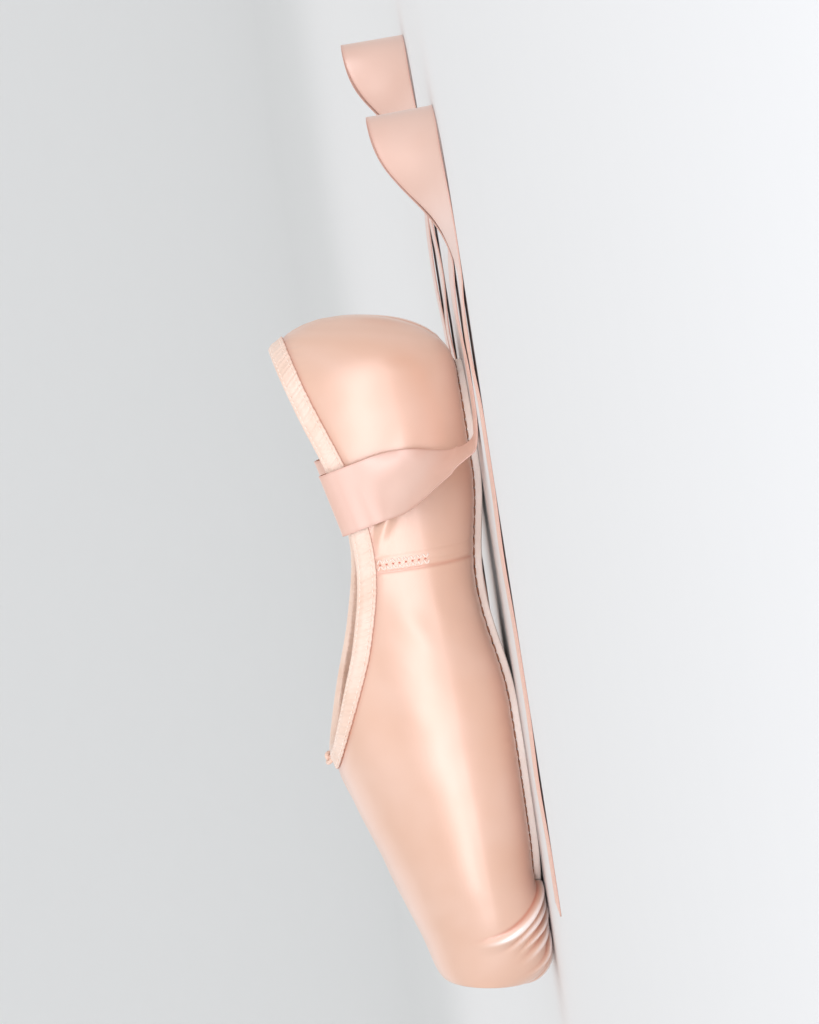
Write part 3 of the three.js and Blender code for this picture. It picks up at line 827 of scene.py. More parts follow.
def half_rings(sections, rim, steps):
    """Half rings from under the middle to the rim, stations by columns by xyz."""
    x, half, seat, low, widest, top = (sections[:, [i]] for i in range(6))
    seat_share = spaced(0, 1, steps[0])[None, :]
    corner = spaced(0, np.pi / 2, steps[1])[None, :]
    dome = (1 - (1 - np.linspace(0, 1, steps[2] + 1)) ** DOME_CROWDING)[None, :] * rim[:, None]
    sweep = np.clip(np.cos(dome), 0, 1) ** (2 / TOP_POWER)
    rise = np.clip(np.sin(dome), 0, 1) ** (2 / TOP_POWER)
    y = np.hstack([seat * seat_share, seat + (half - seat) * np.sin(corner), half * sweep])
    z = np.hstack([
        low + 0 * seat_share,
        widest - (widest - low) * np.cos(corner),
        widest + (top - widest) * rise,
    ])
    y[:, -1] = np.where(rim >= SHUT, 0, y[:, -1])
    return np.stack([leaned(x, z), y, z], -1)


def angle_at_height(sections, height):
    widest, top = sections[:, 4], sections[:, 5]
    share = np.clip((height - widest) / np.maximum(top - widest, 1e-6), 0, 1)
    return np.arcsin(np.clip(share ** (TOP_POWER / 2), 0, 1))


outer_sections = all_sections(0)
inner_sections = all_sections(1)
station_x = outer_sections[:, 0]
outer_rim = angle_at_height(outer_sections, rim_height(station_x))
outer_rim[station_x > throat_closes - 1e-3] = SHUT
outer_rim[outer_rim > SHUT - 2e-3] = SHUT
opened = outer_rim < SHUT
INNER_RIM_SHARE = 0.85
rim_y = outer_sections[:, 1] * np.clip(np.cos(outer_rim), 0, 1) ** (2 / TOP_POWER)
inner_rim_share = np.clip(INNER_RIM_SHARE * rim_y / inner_sections[:, 1], 0, 1)
inner_by_y = np.arccos(inner_rim_share ** (TOP_POWER / 2))
inner_by_z = angle_at_height(inner_sections, rim_height(inner_sections[:, 0]))
inner_rim = np.where(opened, np.minimum(inner_by_z, inner_by_y), SHUT)
SEAT_COLUMNS, CORNER_COLUMNS, DOME_COLUMNS = 20, 70, 46
INNER_STEPS = (6, 12, 22)
outer_half = half_rings(
    outer_sections, outer_rim, (SEAT_COLUMNS, CORNER_COLUMNS, DOME_COLUMNS))
inner_half = half_rings(inner_sections, inner_rim, INNER_STEPS)
print("rings:", len(station_x), "of which open:", int(opened.sum()))

# %% [markdown]
# ### Pleats under the toe
# The satin has to get round the toe and under the sole's tip, so the maker folds it into a
# fan of small pleats that the sole then covers. Seen on the flat cloth, the pleats are rays
# from one point. Each one rises slowly towards its ridge and drops sharply behind it, like
# the tooth of a saw, and it fades before it reaches the platform. The outermost pleat is the
# tallest and longest: its fold draws a clear line on the side of the toe. A line of painted
# shadow along each fold and a painted highlight on each ridge add to the relief.

# %% Shape the pleats
PLEAT_POLE_X, BODY_X = 73.0, 60
PLEAT_COUNT = 9
PLEAT_SPREAD = math.radians(60)
PLEAT_UNEVENNESS = 0.16
PLEAT_HEIGHTS, PLEAT_REACHES = (1.5, 2.3), (43, 53)
OUTER_PLEAT_HEIGHT, OUTER_PLEAT_REACH = 2.5, 56
PLEAT_FADE_BEYOND, PLEAT_FADE_WITHIN = 5, 13
PLEAT_STARTS, PLEAT_FULL = 12, 17
TOOTH_START, TOOTH_TOP, TOOTH_END = -0.02, 0.66, 1.06
# places and widths of the painted highlight on each ridge and the painted shadow along each fold
HIGHLIGHT_AT, HIGHLIGHT_WIDTH, FOLD_SHADOW_AT, FOLD_SHADOW_WIDTH = 0.7, 0.16, 1.04, 0.13
dice = np.random.default_rng(11)


def pleat_folds():
    """Angle, height and reach of each pleat on one side, from the middle outwards."""
    step = PLEAT_SPREAD / PLEAT_COUNT
    uneven = dice.uniform(-PLEAT_UNEVENNESS, PLEAT_UNEVENNESS, PLEAT_COUNT)
    angles = (np.arange(1, PLEAT_COUNT + 1) + uneven) * step
    angles[-1] = PLEAT_SPREAD
    heights = dice.uniform(*PLEAT_HEIGHTS, PLEAT_COUNT)
    reaches = dice.uniform(*PLEAT_REACHES, PLEAT_COUNT)
    heights[-1], reaches[-1] = OUTER_PLEAT_HEIGHT, OUTER_PLEAT_REACH
    return angles, heights, reaches


def pleat_relief(along, around, folds):
    """Height of the pleats, with a mask of painted shadow along each fold and one of painted
    highlight on each ridge.
    """
    angles, heights, reaches = folds
    angle = np.arctan2(around, along)
    radius = np.hypot(around, along)
    relief = np.zeros_like(angle)
    shadow = np.zeros_like(angle)
    painted_ridge_highlight = np.zeros_like(angle)
    previous = 0.0
    for fold, height, reach in zip(angles, heights, reaches):
        bent = 0.03 * np.sin(radius * 0.16 + fold * 9)
        share = (angle - previous - bent) / (fold - previous)
        drop = smoothstep(TOOTH_TOP, TOOTH_END, share)
        tooth = smoothstep(TOOTH_START, TOOTH_TOP, share) * (1 - drop)
        fade = smoothstep(reach + PLEAT_FADE_BEYOND, reach - PLEAT_FADE_WITHIN, radius)
        fade = fade * smoothstep(PLEAT_STARTS, PLEAT_FULL, radius)
        relief = np.maximum(relief, height * tooth * fade)
        # painted shadow along the fold behind each pleat
        shadow = np.maximum(shadow, bell(share, FOLD_SHADOW_AT, FOLD_SHADOW_WIDTH) * fade)
        # painted highlight on each pleat's ridge
        painted_ridge_highlight = np.maximum(painted_ridge_highlight, bell(share, HIGHLIGHT_AT, HIGHLIGHT_WIDTH) * fade)
        previous = fold
    return relief, shadow, painted_ridge_highlight


print("pleats on each side:", PLEAT_COUNT)

# %% Shape the seams and creases
# x and z of the two ends of each soft crease on the sides, its height and its half width
CREASES = [
    ((-45, 38.2), (-57, 31.5), 0.95, 1.8),
    ((-48, 40.5), (-62, 35.5), -0.6, 2.2),
    ((-64, 30), (-80, 22), 0.35, 4.0),
    ((-20, 36), (-6, 24), 0.3, 4.5),
    ((-30, 20), (-12, 12), -0.3, 4.0),
    ((2, 45), (16, 34), 0.22, 4.5),
]


def crease_relief(x, z, side):
    relief = np.zeros_like(x)
    for (start, end, height, width) in CREASES:
        shift = 1.5 * side
        along = np.array(end, float) - np.array(start, float)
        length = np.linalg.norm(along)
        along /= length
        dx, dz = x - start[0] - shift, z - start[1]
        run = dx * along[0] + dz * along[1]
        off = -dx * along[1] + dz * along[0]
        run_fade = bell(run, length / 2, length * 0.55)
        relief += height * run_fade * bell(off, 0.05 * run, width)
    return relief


def wavy(along, around, side):
    """Slow unevenness of pulled cloth, in millimetres."""
    first = np.sin(along * 0.083 + 1.3 * side) * np.sin(around * 0.11 + 0.4)
    second = np.sin(along * 0.19 + around * 0.07 + 2.1 * side)
    third = np.sin(along * 0.37 - around * 0.21 + side) * np.sin(around * 0.05 + along * 0.05)
    return 0.16 * first + 0.07 * second + 0.04 * third


SEAM_GROOVE, BAND_RISE, BAND_LINE, BACK_GROOVE, BACK_LIP = 0.34, 0.2, 0.14, 0.42, 0.14
GROOVE_WIDTH, BAND_LINE_WIDTH, BACK_LIP_Y, BACK_LIP_WIDTH = 0.5, 0.45, 1.3, 0.7
ABOVE_SOLE, HEEL_BACK = (6, 9), (-103, -108)
PUCKER_HEIGHT, LASTING_HEIGHT, CASING_PRESS = 0.11, 0.13, 0.14


def side_seam_relief(from_seam):
    """The seam's groove, and the raised band behind it with a line down its middle."""
    groove = -SEAM_GROOVE * bell(from_seam, 0, GROOVE_WIDTH)
    band = smoothstep(-SEAM_BAND - 0.7, -SEAM_BAND, from_seam) * smoothstep(0.1, -0.6, from_seam)
    middle_line = -BAND_LINE * bell(from_seam, -SEAM_BAND / 2, BAND_LINE_WIDTH)
    return groove + BAND_RISE * band + middle_line * band


def gathers(run, pitch, drift, slow):
    """Uneven little gathers along a line, from -1 to 1."""
    return np.sin(run * pitch + drift * np.sin(run * slow))


def satin_relief(points, around, along, folds, side):
    """How far the satin stands out of the plain form, and a mask of seam lines and painted shade,
    below 0 for painted highlight.
    """
    x, y, z = points[..., 0], points[..., 1], points[..., 2]
    edge_below = collar_height(x) - read_table(COLLAR, COLLAR_BAND, x) - z
    on_top = (x < throat_closes + 8) | (z > 40)
    under_casing = np.where(on_top, smoothstep(2.5, -0.5, edge_below), 0)
    pleats, pleat_shadow, pleat_painted_highlight = pleat_relief(along - PLEAT_POLE_X, around, folds)
    from_seam = x - SEAM_X
    above_sole = smoothstep(*ABOVE_SOLE, z)
    seams = side_seam_relief(from_seam) * above_sole
    heel_back = smoothstep(*HEEL_BACK, x)
    back_lip = BACK_LIP * bell(y, BACK_LIP_Y, BACK_LIP_WIDTH)
    back_seam = (-BACK_GROOVE * bell(y, 0, GROOVE_WIDTH) + back_lip) * heel_back
    puckers = gathers(along, 1.75, 1.2, 0.31) * bell(edge_below, 0.5, 3.2)
    puckers = PUCKER_HEIGHT * puckers * on_top * smoothstep(24, 10, x)
    lasting = gathers(along, 1.05, 2.0, 0.17) * bell(z, 5.5, 3.2)
    lasting = LASTING_HEIGHT * lasting * smoothstep(60, 30, x)
    soft = wavy(along, around, side) * smoothstep(4, 10, z) * smoothstep(108, 95, x)
    creases = crease_relief(x, z, side)
    loose = (seams + back_seam + puckers + lasting + soft + creases) * (1 - under_casing)
    relief = loose + pleats - CASING_PRESS * under_casing
    # mask for the satin's colour: darker lines at the side and back seams, painted shade, and below
    # 0 painted highlight
    tone_and_painted_light = 0.55 * bell(from_seam, 0, 0.6) * above_sole + 0.6 * bell(y, 0, 0.6) * heel_back
    # painted shadow under the casing's lower edge
    tone_and_painted_light = tone_and_painted_light + 0.35 * bell(edge_below, -0.1, 1.1) * on_top
    # painted shade on the satin beside the sole, then the painted shadow of the pleat folds
    tone_and_painted_light = tone_and_painted_light + 0.25 * smoothstep(11, 4, z) * smoothstep(96, 80, x) + pleat_shadow
    return relief, np.clip(tone_and_painted_light, 0, 1) - pleat_painted_highlight * (1 - pleat_shadow)


def outward(points):
    """Unit vectors out of a grid of half rings."""
    along = np.gradient(points, axis=0)
    around = np.gradient(points, axis=1)
    normals = unit(np.cross(around, along))
    normals[:, 0, 1] = 0
    return unit(normals)


def ring_lengths(points):
    steps = np.linalg.norm(np.diff(points[..., 1:], axis=1), axis=-1)
    return np.concatenate([np.zeros((len(points), 1)), np.cumsum(steps, axis=1)], axis=1)


def path_lengths(points):
    """How far along the middle of the underside each ring lies, the same as x on the body."""
    run = run_along(points[:, 0])
    known = int(np.argmin(np.abs(station_x - BODY_X)))
    return (run - run[known] + station_x[known])[:, None]


# %% [markdown]
# ### Clear of the sole
# The sole lies in a shallow seat: inside its outline the satin stays above it, and outside
# the outline the pleats come down around its tip. The sole's outline is worked out first.

# %% The sole's outline
SOLE_BACK, SOLE_TIP = -97, 90
SOLE_BACK_ROUND, SOLE_TIP_ROUND = 16, 17
SOLE_POWER = 2.2
SEAT_MARGIN, SEAT_GROWTH, SEAT_LIP, SEAT_AIR, SEAT_BELOW = 0.8, 1.004, 0.5, 0.15, 9


def rounded_share(x, back, back_round, tip, tip_round):
    into = np.maximum((back + back_round - x) / back_round, (x - tip + tip_round) / tip_round)
    into = np.clip(into, 0, 1)
    return np.maximum(1 - into ** SOLE_POWER, 0) ** (1 / SOLE_POWER)


def sole_half_width(x):
    share = rounded_share(x, SOLE_BACK, SOLE_BACK_ROUND, SOLE_TIP, SOLE_TIP_ROUND)
    return (read_table(FORM, FORM_SEAT, x) - SEAT_MARGIN) * share


def clear_of_sole(points):
    """Lifts what would dip into the sole's seat."""
    x, y, z = points[..., 0], points[..., 1], points[..., 2]
    grown = sole_half_width(np.clip(x / SEAT_GROWTH, SOLE_BACK, SOLE_TIP)) + SEAT_LIP
    beside = smoothstep(0.5, -0.1, np.abs(y) - grown)
    inside = beside * smoothstep(SOLE_TIP + 0.7, SOLE_TIP - 0.2, x)
    floor = sole_under(x) + SOLE_THICKNESS + SEAT_AIR
    lifted = points.copy()
    lifted[..., 2] = z + inside * np.maximum(floor - z, 0) * (z < SEAT_BELOW)
    return lifted


print("the sole reaches from x =", SOLE_BACK, "to", SOLE_TIP)

# %% Sew the upper together
def mirrored_sides(half, relief_of):
    """Both sides of a skin, from one rim under the shoe to the other rim."""
    normals = outward(half)
    around = ring_lengths(half)
    along = np.broadcast_to(path_lengths(half), around.shape)
    sides, masks = [], []
    for side in (1, -1):
        relief, tone_and_painted_light = relief_of(half, around, along, side)
        sides.append((half + normals * relief[..., None]) * np.array([1, side, 1]))
        masks.append(tone_and_painted_light)
    middle = (sides[0][:, 0] + sides[1][:, 0]) / 2
    sides[0][:, 0] = middle
    sides[1][:, 0] = middle
    shut = ~opened
    top = (sides[0][shut, -1] + sides[1][shut, -1]) / 2
    top[:, 1] = 0
    sides[0][shut, -1] = top
    sides[1][shut, -1] = top
    points = np.concatenate([sides[1][:, :0:-1], sides[0]], axis=1)
    mask = np.concatenate([masks[1][:, :0:-1], masks[0]], axis=1)
    lay = np.stack([
        np.concatenate([along[:, :0:-1], along], axis=1),
        np.concatenate([around[:, :0:-1], around], axis=1),
        mask,
    ], -1)
    return points, lay


folds = {1: pleat_folds(), -1: pleat_folds()}
outer, outer_lay = mirrored_sides(
    outer_half,
    lambda half, around, along, side: satin_relief(half, around, along, folds[side], side),
)
outer = clear_of_sole(outer)
inner, inner_lay = mirrored_sides(
    inner_half, lambda half, around, along, side: (0 * around, 0 * around)
)
stations, outer_columns = outer.shape[:2]
inner_columns = inner.shape[1]
inner_first = stations * outer_columns
faces = grid_faces(stations, outer_columns)
satin_count = len(faces)
faces += grid_faces(stations, inner_columns, first=inner_first)
grids_count = len(faces)
points = np.concatenate([outer.reshape(-1, 3), inner.reshape(-1, 3)])
lay = np.concatenate([outer_lay.reshape(-1, 3), inner_lay.reshape(-1, 3)])

poles = []
for grid, first, columns in ((outer, 0, outer_columns), (inner, inner_first, inner_columns)):
    for row in (0, stations - 1):
        ring = [first + row * columns + i for i in range(columns)]
        centre = grid[row].mean(axis=0)
        centre[1] = 0
        if row == 0:
            centre[0] = HEEL_ROUND_X - HEEL_ROUND_DEPTH + (HEEL_WALL if first else 0)
            centre[2] = HEEL_BULGE_Z
        poles.append(centre)
        faces += fan_faces(ring, len(points) + len(poles) - 1)
points = np.concatenate([points, poles])
lay = np.concatenate([lay, np.zeros((len(poles), 3))])

open_rows = np.flatnonzero(opened)
for row in range(open_rows[0] - 1, open_rows[-1] + 1):
    for outer_column, inner_column in ((0, 0), (outer_columns - 1, inner_columns - 1)):
        faces.append([
            row * outer_columns + outer_column,
            (row + 1) * outer_columns + outer_column,
            inner_first + (row + 1) * inner_columns + inner_column,
            inner_first + row * inner_columns + inner_column,
        ])
finish_of = np.ones(len(faces), int)
finish_of[:satin_count] = 0
finish_of[grids_count:grids_count + 2 * outer_columns] = 0
satin_upper = make_piece("satin_upper", points, faces, [satin, lining_cotton],
                         stands_for=["upper"], lay=lay, finish_of=finish_of)

# %% [markdown]
# ## The outsole
# The sole is one thin piece of buffed leather with a round tip, a narrow waist and a round
# back. It is a slab swept along its outline. Its lower edge is rounded by use and its cut
# edge is a little paler, so the edge has a finish of its own.

# %% Cut the outsole
SOLE_STATIONS = 260
SOLE_LOW_ROUND, SOLE_HIGH_ROUND, ROUND_STEPS = 0.9, 0.35, 7


def sole_profile():
    """Inset from the outline and share of the thickness, from under the middle to the top."""
    rounding = np.linspace(0, np.pi / 2, ROUND_STEPS)
    low, high = SOLE_LOW_ROUND, SOLE_HIGH_ROUND
    low_round = [(low * (1 - math.sin(a)), low * (1 - math.cos(a))) for a in rounding]
    high_round = [(high * (1 - math.cos(a)), SOLE_THICKNESS - high * (1 - math.sin(a)))
                  for a in rounding]
    return low_round + high_round


def make_outsole():
    spread = np.linspace(0, 1, SOLE_STATIONS)
    x = (SOLE_BACK + SOLE_TIP) / 2 - (SOLE_TIP - SOLE_BACK) / 2 * np.cos(np.pi * spread)
    half = sole_half_width(x)
    outline = np.stack([x, half], -1)
    step = np.gradient(outline, axis=0)
    normal = unit(np.stack([-step[:, 1], step[:, 0]], -1))
    normal[0], normal[-1] = (-1, 0), (1, 0)
    rim = []
    for inset, height in sole_profile():
        place = outline - normal * inset
        place[:, 1] = np.maximum(place[:, 1], 0)
        place[[0, -1], 1] = 0
        rim.append(np.stack([place[:, 0], place[:, 1], sole_under(place[:, 0]) + height], -1))
    rim = np.stack(rim, 1)
    across = spaced(0, 1, 12)
    narrowed = np.stack([1 + 0 * across, across, 1 + 0 * across], -1)
    half_ring = np.concatenate(
        [rim[:, [0]] * narrowed, rim, rim[:, [-1]] * narrowed[::-1]], axis=1)
    other = half_ring[:, -2:0:-1] * np.array([1, -1, 1])
    ring = np.concatenate([half_ring, other], axis=1)
    rows, columns = ring.shape[:2]
    faces = grid_faces(rows, columns, round_columns=True)
    column_of = np.array([face[0] % columns for face in faces])
    first_edge, last_edge = len(across) + 3, len(across) + rim.shape[1]
    mirror = columns - column_of - 1
    on_edge = ((column_of >= first_edge) & (column_of < last_edge)) | (
        (mirror >= first_edge) & (mirror < last_edge))
    piece = make_piece("leather_outsole", ring.reshape(-1, 3), faces,
                       [buffed_leather, leather_edge], stands_for=["outsole"],
                       finish_of=on_edge.astype(int))
    return piece, outline, normal


leather_outsole, sole_outline, sole_normal = make_outsole()

# %% [markdown]
# ## Stitches
# A stitch is a short piece of thread that arches out of the cloth and dives back into it.
# Hundreds of them are made as one joined mesh from arrays, each a small closed tube with
# pointed ends, because separate objects would be slow.

# %% A row of stitches
STITCH_SIDES, STITCH_RINGS = 6, 7
STITCH_POINT, STITCH_SINK = 0.02, 0.25


def running_stitches(places, normals, end_share, start_share=0):
    """Starts, ends and directions of stitches that each fill a share of a step."""
    steps = places[1:] - places[:-1]
    return places[:-1] + steps * start_share, places[:-1] + steps * end_share, normals[:-1]


def make_stitches(name, rows, radius, arch, finish):
    """Closed little tubes for rows of stitches, arching out of the cloth."""
    starts, ends, normals = (np.concatenate(part) for part in zip(*rows))
    count = len(starts)
    along = unit(ends - starts)
    across = unit(np.cross(normals, along))
    out = unit(np.cross(along, across))
    share = np.linspace(0, 1, STITCH_RINGS)
    fullness = np.sqrt(np.clip(1 - (2 * share - 1) ** 4, STITCH_POINT, 1))
    lift = arch * np.sin(np.pi * share) - STITCH_SINK * radius
    middle = starts[:, None] + (ends - starts)[:, None] * share[None, :, None]
    middle = middle + out[:, None] * lift[None, :, None]
    circle = circles(across, out, STITCH_SIDES)[:, None]
    ring = middle[:, :, None] + circle * (radius * fullness)[None, :, None, None]
    points = ring.reshape(-1, 3)
    size = STITCH_RINGS * STITCH_SIDES
    tube = np.array(grid_faces(STITCH_RINGS, STITCH_SIDES, round_columns=True))
    faces = []
    for i in range(count):
        faces += (tube + i * size).tolist()
        faces.append([i * size + k for k in range(STITCH_SIDES)])
        faces.append([(i + 1) * size - 1 - k for k in range(STITCH_SIDES)])
    piece = make_piece(name, points, faces, [finish])
    print(f"{name}: {count} stitches")
    return piece


def spaced_line(line, normals, pitch, closed=False):
    """Points at even steps along a line, with the normals there."""
    if closed:
        line = np.vstack([line, line[:1]])
        normals = np.vstack([normals, normals[:1]])
    run = run_along(line)
    count = max(int(run[-1] / pitch), 1)
    at = np.linspace(0, run[-1], count + 1)
    return read_line(at, run, line), unit(read_line(at, run, normals))


# %% [markdown]
# ### The stitches that hold the ribbons
# A dancer sews each ribbon inside the quarter by hand, with small stitches round a square.
# They are laid round the ribbon's inner end, on the face that looks into the shoe.

# %% Sew the ribbons in
SEWN_FROM, SEWN_TO, SEWN_HALF_WIDTH = 2.0, 13.0, 9.2
HAND_STITCH, HAND_STITCH_SHARE = 2.4, 0.6


def make_ribbon_stitches():
    rows = []
    for rest, side in ((LEFT_REST, 1), (RIGHT_REST, -1)):
        middle, wide, thick, travelled = ribbon_directions(RIBBON_FALL + rest)
        up = np.linspace(SEWN_FROM, SEWN_TO, 40)
        over = np.linspace(-SEWN_HALF_WIDTH, SEWN_HALF_WIDTH, 60)
        run = np.concatenate([up, SEWN_TO + 0 * over, up[::-1], SEWN_FROM + 0 * over])
        offset = np.concatenate([0 * up + over[0], over, 0 * up + over[-1], over[::-1]])
        centre, across, through = (
            read_line(run, travelled, column) for column in (middle, wide, thick))
        line = centre + across * offset[:, None] - through * RIBBON_HALF_THICKNESS
        mirror = np.array([1, side, 1])
        places, normals = spaced_line(line * mirror, -through * mirror, HAND_STITCH)
        rows.append(running_stitches(places, normals, HAND_STITCH_SHARE))
    return make_stitches("ribbon_stitches", rows, radius=0.17, arch=0.12,
                         finish=pale_thread)


ribbon_stitches = make_ribbon_stitches()

# %% [markdown]
# ### The line where satin meets sole
# The photograph shows a brown line there, made of long stitches with small breaks. It runs
# all the way round the sole except at the tip, where the pleats go under.

# %% Sew the sole line
SOLE_STITCH, SOLE_STITCH_SHARE = 3.4, 0.9
SOLE_LINE_OUT, SOLE_LINE_UP = 0.42, 0.12


def make_sole_line():
    rows = []
    for side in (1, -1):
        keep = (sole_outline[:, 0] < SOLE_TIP - 4) & (sole_outline[:, 0] > SOLE_BACK + 0.2)
        outline, normal = sole_outline[keep], sole_normal[keep]
        place = outline + normal * SOLE_LINE_OUT
        height = sole_under(outline[:, 0]) + SOLE_THICKNESS + SOLE_LINE_UP
        line = np.stack([place[:, 0], place[:, 1] * side, height], -1)
        out = unit(np.stack([normal[:, 0], normal[:, 1] * side, 0.25 + 0 * height], -1))
        places, normals = spaced_line(line, out, SOLE_STITCH)
        rows.append(running_stitches(places, normals, SOLE_STITCH_SHARE))
    return make_stitches("sole_line", rows, radius=0.4, arch=0.12,
                         finish=brown_thread)


sole_line = make_sole_line()

# %% [markdown]
# ## The gathered casing
# A narrow band is folded over the collar's edge and holds the drawstring. Pulling the string
# has left it finely puckered. The band is a strip with a U-shaped section, swept round the
# collar: down the outside, over the edge and down the inside. To lie on the shoe it needs
# the shoe's surface, so points are pulled onto the last with a few steps of Newton's method.

# %% The collar's line on the last
def last_sizes(x):
    """Half width, widest height and top of the last at x, round heel included."""
    into = np.clip((HEEL_ROUND_X - x) / HEEL_ROUND_DEPTH, 0, 0.999)
    share = np.sqrt(1 - into ** 2)
    widest = HEEL_BULGE_Z + share * (read_table(FORM, FORM_WIDEST, x) - HEEL_BULGE_Z)
    top = HEEL_BULGE_Z + share * (read_table(FORM, FORM_TOP, x) - HEEL_BULGE_Z)
    return share * read_table(FORM, FORM_HALF, x), widest, top


def beyond_last(points):
    """Negative inside the last, positive outside it."""
    half, widest, top = last_sizes(points[..., 0])
    wide = (np.abs(points[..., 1]) / half) ** TOP_POWER
    high = (np.maximum(points[..., 2] - widest, 0) / (top - widest)) ** TOP_POWER
    return wide + high - 1


def slope_of_last(points):
    reach = 0.02
    steps = []
    for axis in range(3):
        shift = np.zeros(3)
        shift[axis] = reach
        steps.append((beyond_last(points + shift) - beyond_last(points - shift)) / (2 * reach))
    return np.stack(steps, -1)


def onto_last(points):
    """The nearest points on the last, and the directions out of it."""
    for _ in range(4):
        slope = slope_of_last(points)
        points = points - slope * (beyond_last(points) / (slope ** 2).sum(-1))[..., None]
    return points, unit(slope_of_last(points))


def collar_gap(x):
    top = last_sizes(np.float64(x))[-1]
    return float(top - collar_height(x))


COLLAR_STEPS = 1100
collar_back = crossing(collar_gap, -117.0, -100.0)
collar_front = crossing(collar_gap, 10.0, 50.0)
turn = np.linspace(0, np.pi, 600)
line_x = (collar_back + collar_front) / 2 - (collar_front - collar_back) / 2 * np.cos(turn)
line_half, line_widest, line_top = last_sizes(line_x)
line_share = np.clip((collar_height(line_x) - line_widest) / (line_top - line_widest), 0, 1)
line_y = line_half * (1 - line_share ** TOP_POWER) ** (1 / TOP_POWER)
line_y[[0, -1]] = 0
one_side = np.stack([line_x, line_y, collar_height(line_x)], -1)
other_side = one_side[-2:0:-1] * np.array([1, -1, 1])
collar_loop = np.concatenate([one_side, other_side])
collar_loop, _ = spaced_line(collar_loop, collar_loop, 0.05, closed=True)
fine_run = run_along(collar_loop)
collar_length = fine_run[-1]
collar_at = spaced(0, collar_length, COLLAR_STEPS)
collar_loop = read_line(collar_at, fine_run, collar_loop)
collar_loop, collar_out = onto_last(collar_loop)
collar_along = unit(np.roll(collar_loop, -1, axis=0) - np.roll(collar_loop, 1, axis=0))
collar_down = unit(np.cross(collar_out, collar_along))
collar_down = collar_down * np.where(collar_down[:, 2:] > 0, -1, 1)
collar_run = np.minimum(collar_at, collar_length - collar_at)
print("collar from x =", round(collar_back, 1), "to", round(collar_front, 1),
      "and", round(collar_length), "mm round")

# %% Pucker the casing
CASING_DEPTH = 6.6
CASING_OUT = 0.42
CASING_LIP = 0.16
STRING_SWELL, STRING_DOWN, STRING_WIDTH = 0.34, 2.3, 1.1
LOWER_ROW_UP, UPPER_ROW_DOWN = 1.3, 0.95
RIBBON_X = -57.0


def casing_depth(x):
    return CASING_DEPTH - 0.5 * smoothstep(5, 28, x)


def on_casing(step_numbers, down, out):
    """Points down the casing from its edge by down and out of the last by out."""
    base = collar_loop[step_numbers] + collar_down[step_numbers] * down[..., None]
    found, facing = onto_last(base)
    return found + facing * out[..., None], facing


def casing_puckers(run):
    """Fine uneven gathers along the band, from about -1 to 1."""
    slow = np.sin(run * 0.23) + 0.6 * np.sin(run * 0.071 + 1)
    fine = np.sin(run * 2.9 + 1.7 * slow) + 0.6 * np.sin(run * 4.3 + 2.3 * slow + 1)
    broad = np.sin(run * 1.13 + 0.9 * slow + 2)
    return 0.55 * fine + 0.35 * broad


def make_casing():
    steps = np.arange(COLLAR_STEPS)
    x = collar_loop[:, 0]
    depth = casing_depth(x)
    wall = side_wall(x)
    pressed = bell(x, RIBBON_X, 12) ** 0.5
    loose = 1 - 0.85 * pressed
    pucker = casing_puckers(collar_at) * loose
    down_shares = np.linspace(1, 0.1, 17)
    downs, outs, tone_and_painted_light = [], [], []

    # fold is the strength of the painted shadow on a column of the casing
    def add(down, out, fold=0.0):
        downs.append(down)
        outs.append(out)
        tone_and_painted_light.append(fold + 0 * x)

    # under the lower edge and up the outside; the last argument is painted shadow along the lower
    # edge
    add(depth - 0.1, 0.05 + 0 * x, 0.9)
    add(depth + 0.12 + 0.1 * pucker, 0.16 + 0 * x, 0.8)
    for share in down_shares:
        down = depth * share
        lip = CASING_LIP * smoothstep(0.8, 1.0, share)
        string = STRING_SWELL * bell(down, STRING_DOWN, STRING_WIDTH) * loose
        lower_dip = -0.16 * bell(down, depth - LOWER_ROW_UP, 0.35)
        seam_dip = lower_dip - 0.14 * bell(down, UPPER_ROW_DOWN, 0.3)
        slant = casing_puckers(collar_at + 0.5 * down) * loose
        ripple = (0.17 + 0.1 * smoothstep(0.5, 0.9, share)) * slant
        add(down, CASING_OUT + string + seam_dip + ripple - 0.12 * lip, 0.55 * (share > 0.97))
    # over the collar's edge
    round_top = np.linspace(0, np.pi, 9)[1:-1]
    radius = (wall + 2 * CASING_OUT) / 2
    for angle in round_top:
        out = -wall / 2 + radius * math.cos(angle)
        add(0.45 - 0.85 * math.sin(angle) + 0.05 * pucker, out + 0 * x)
    # down the inside, and back up and over, hidden in the wall
    for share in down_shares[::-2]:
        down = depth * share
        add(down, -wall - CASING_OUT - 0.1 * casing_puckers(collar_at + 7) * loose)
    add(depth + 0.05, -wall - 0.2)
    add(depth - 0.1, -wall - 0.06)
    for share in (0.7, 0.4, 0.2):
        add(depth * share, -wall - 0.06)
    for through in (0.8, 0.5, 0.2):
        add(0.85 + 0 * x, -wall * through)
    for share in (0.2, 0.4, 0.7):
        add(depth * share, 0.05 + 0 * x)
    columns = [on_casing(steps, down, out)[0] for down, out in zip(downs, outs)]
    ring = np.stack(columns, 1)
    rows, count = ring.shape[:2]
    faces = grid_faces(rows, count, round_rows=True, round_columns=True)
    down_lay = np.stack(downs, 1) * np.where(np.stack(outs, 1) > -0.5, 1, -1)
    lay = np.stack(np.broadcast_arrays(
        collar_run[:, None], down_lay, np.stack(tone_and_painted_light, 1)), -1)
    return make_piece("gathered_casing", ring.reshape(-1, 3), faces, [casing_cloth],
                      stands_for=["collar_casing"], lay=lay.reshape(-1, 3))


gathered_casing = make_casing()

# %% [markdown]
# ### The casing's stitching
# Two rows of small stitches hold the band: one near its lower edge, one just under the
# rolled top edge. They are nearly the colour of the cloth and sink into it.

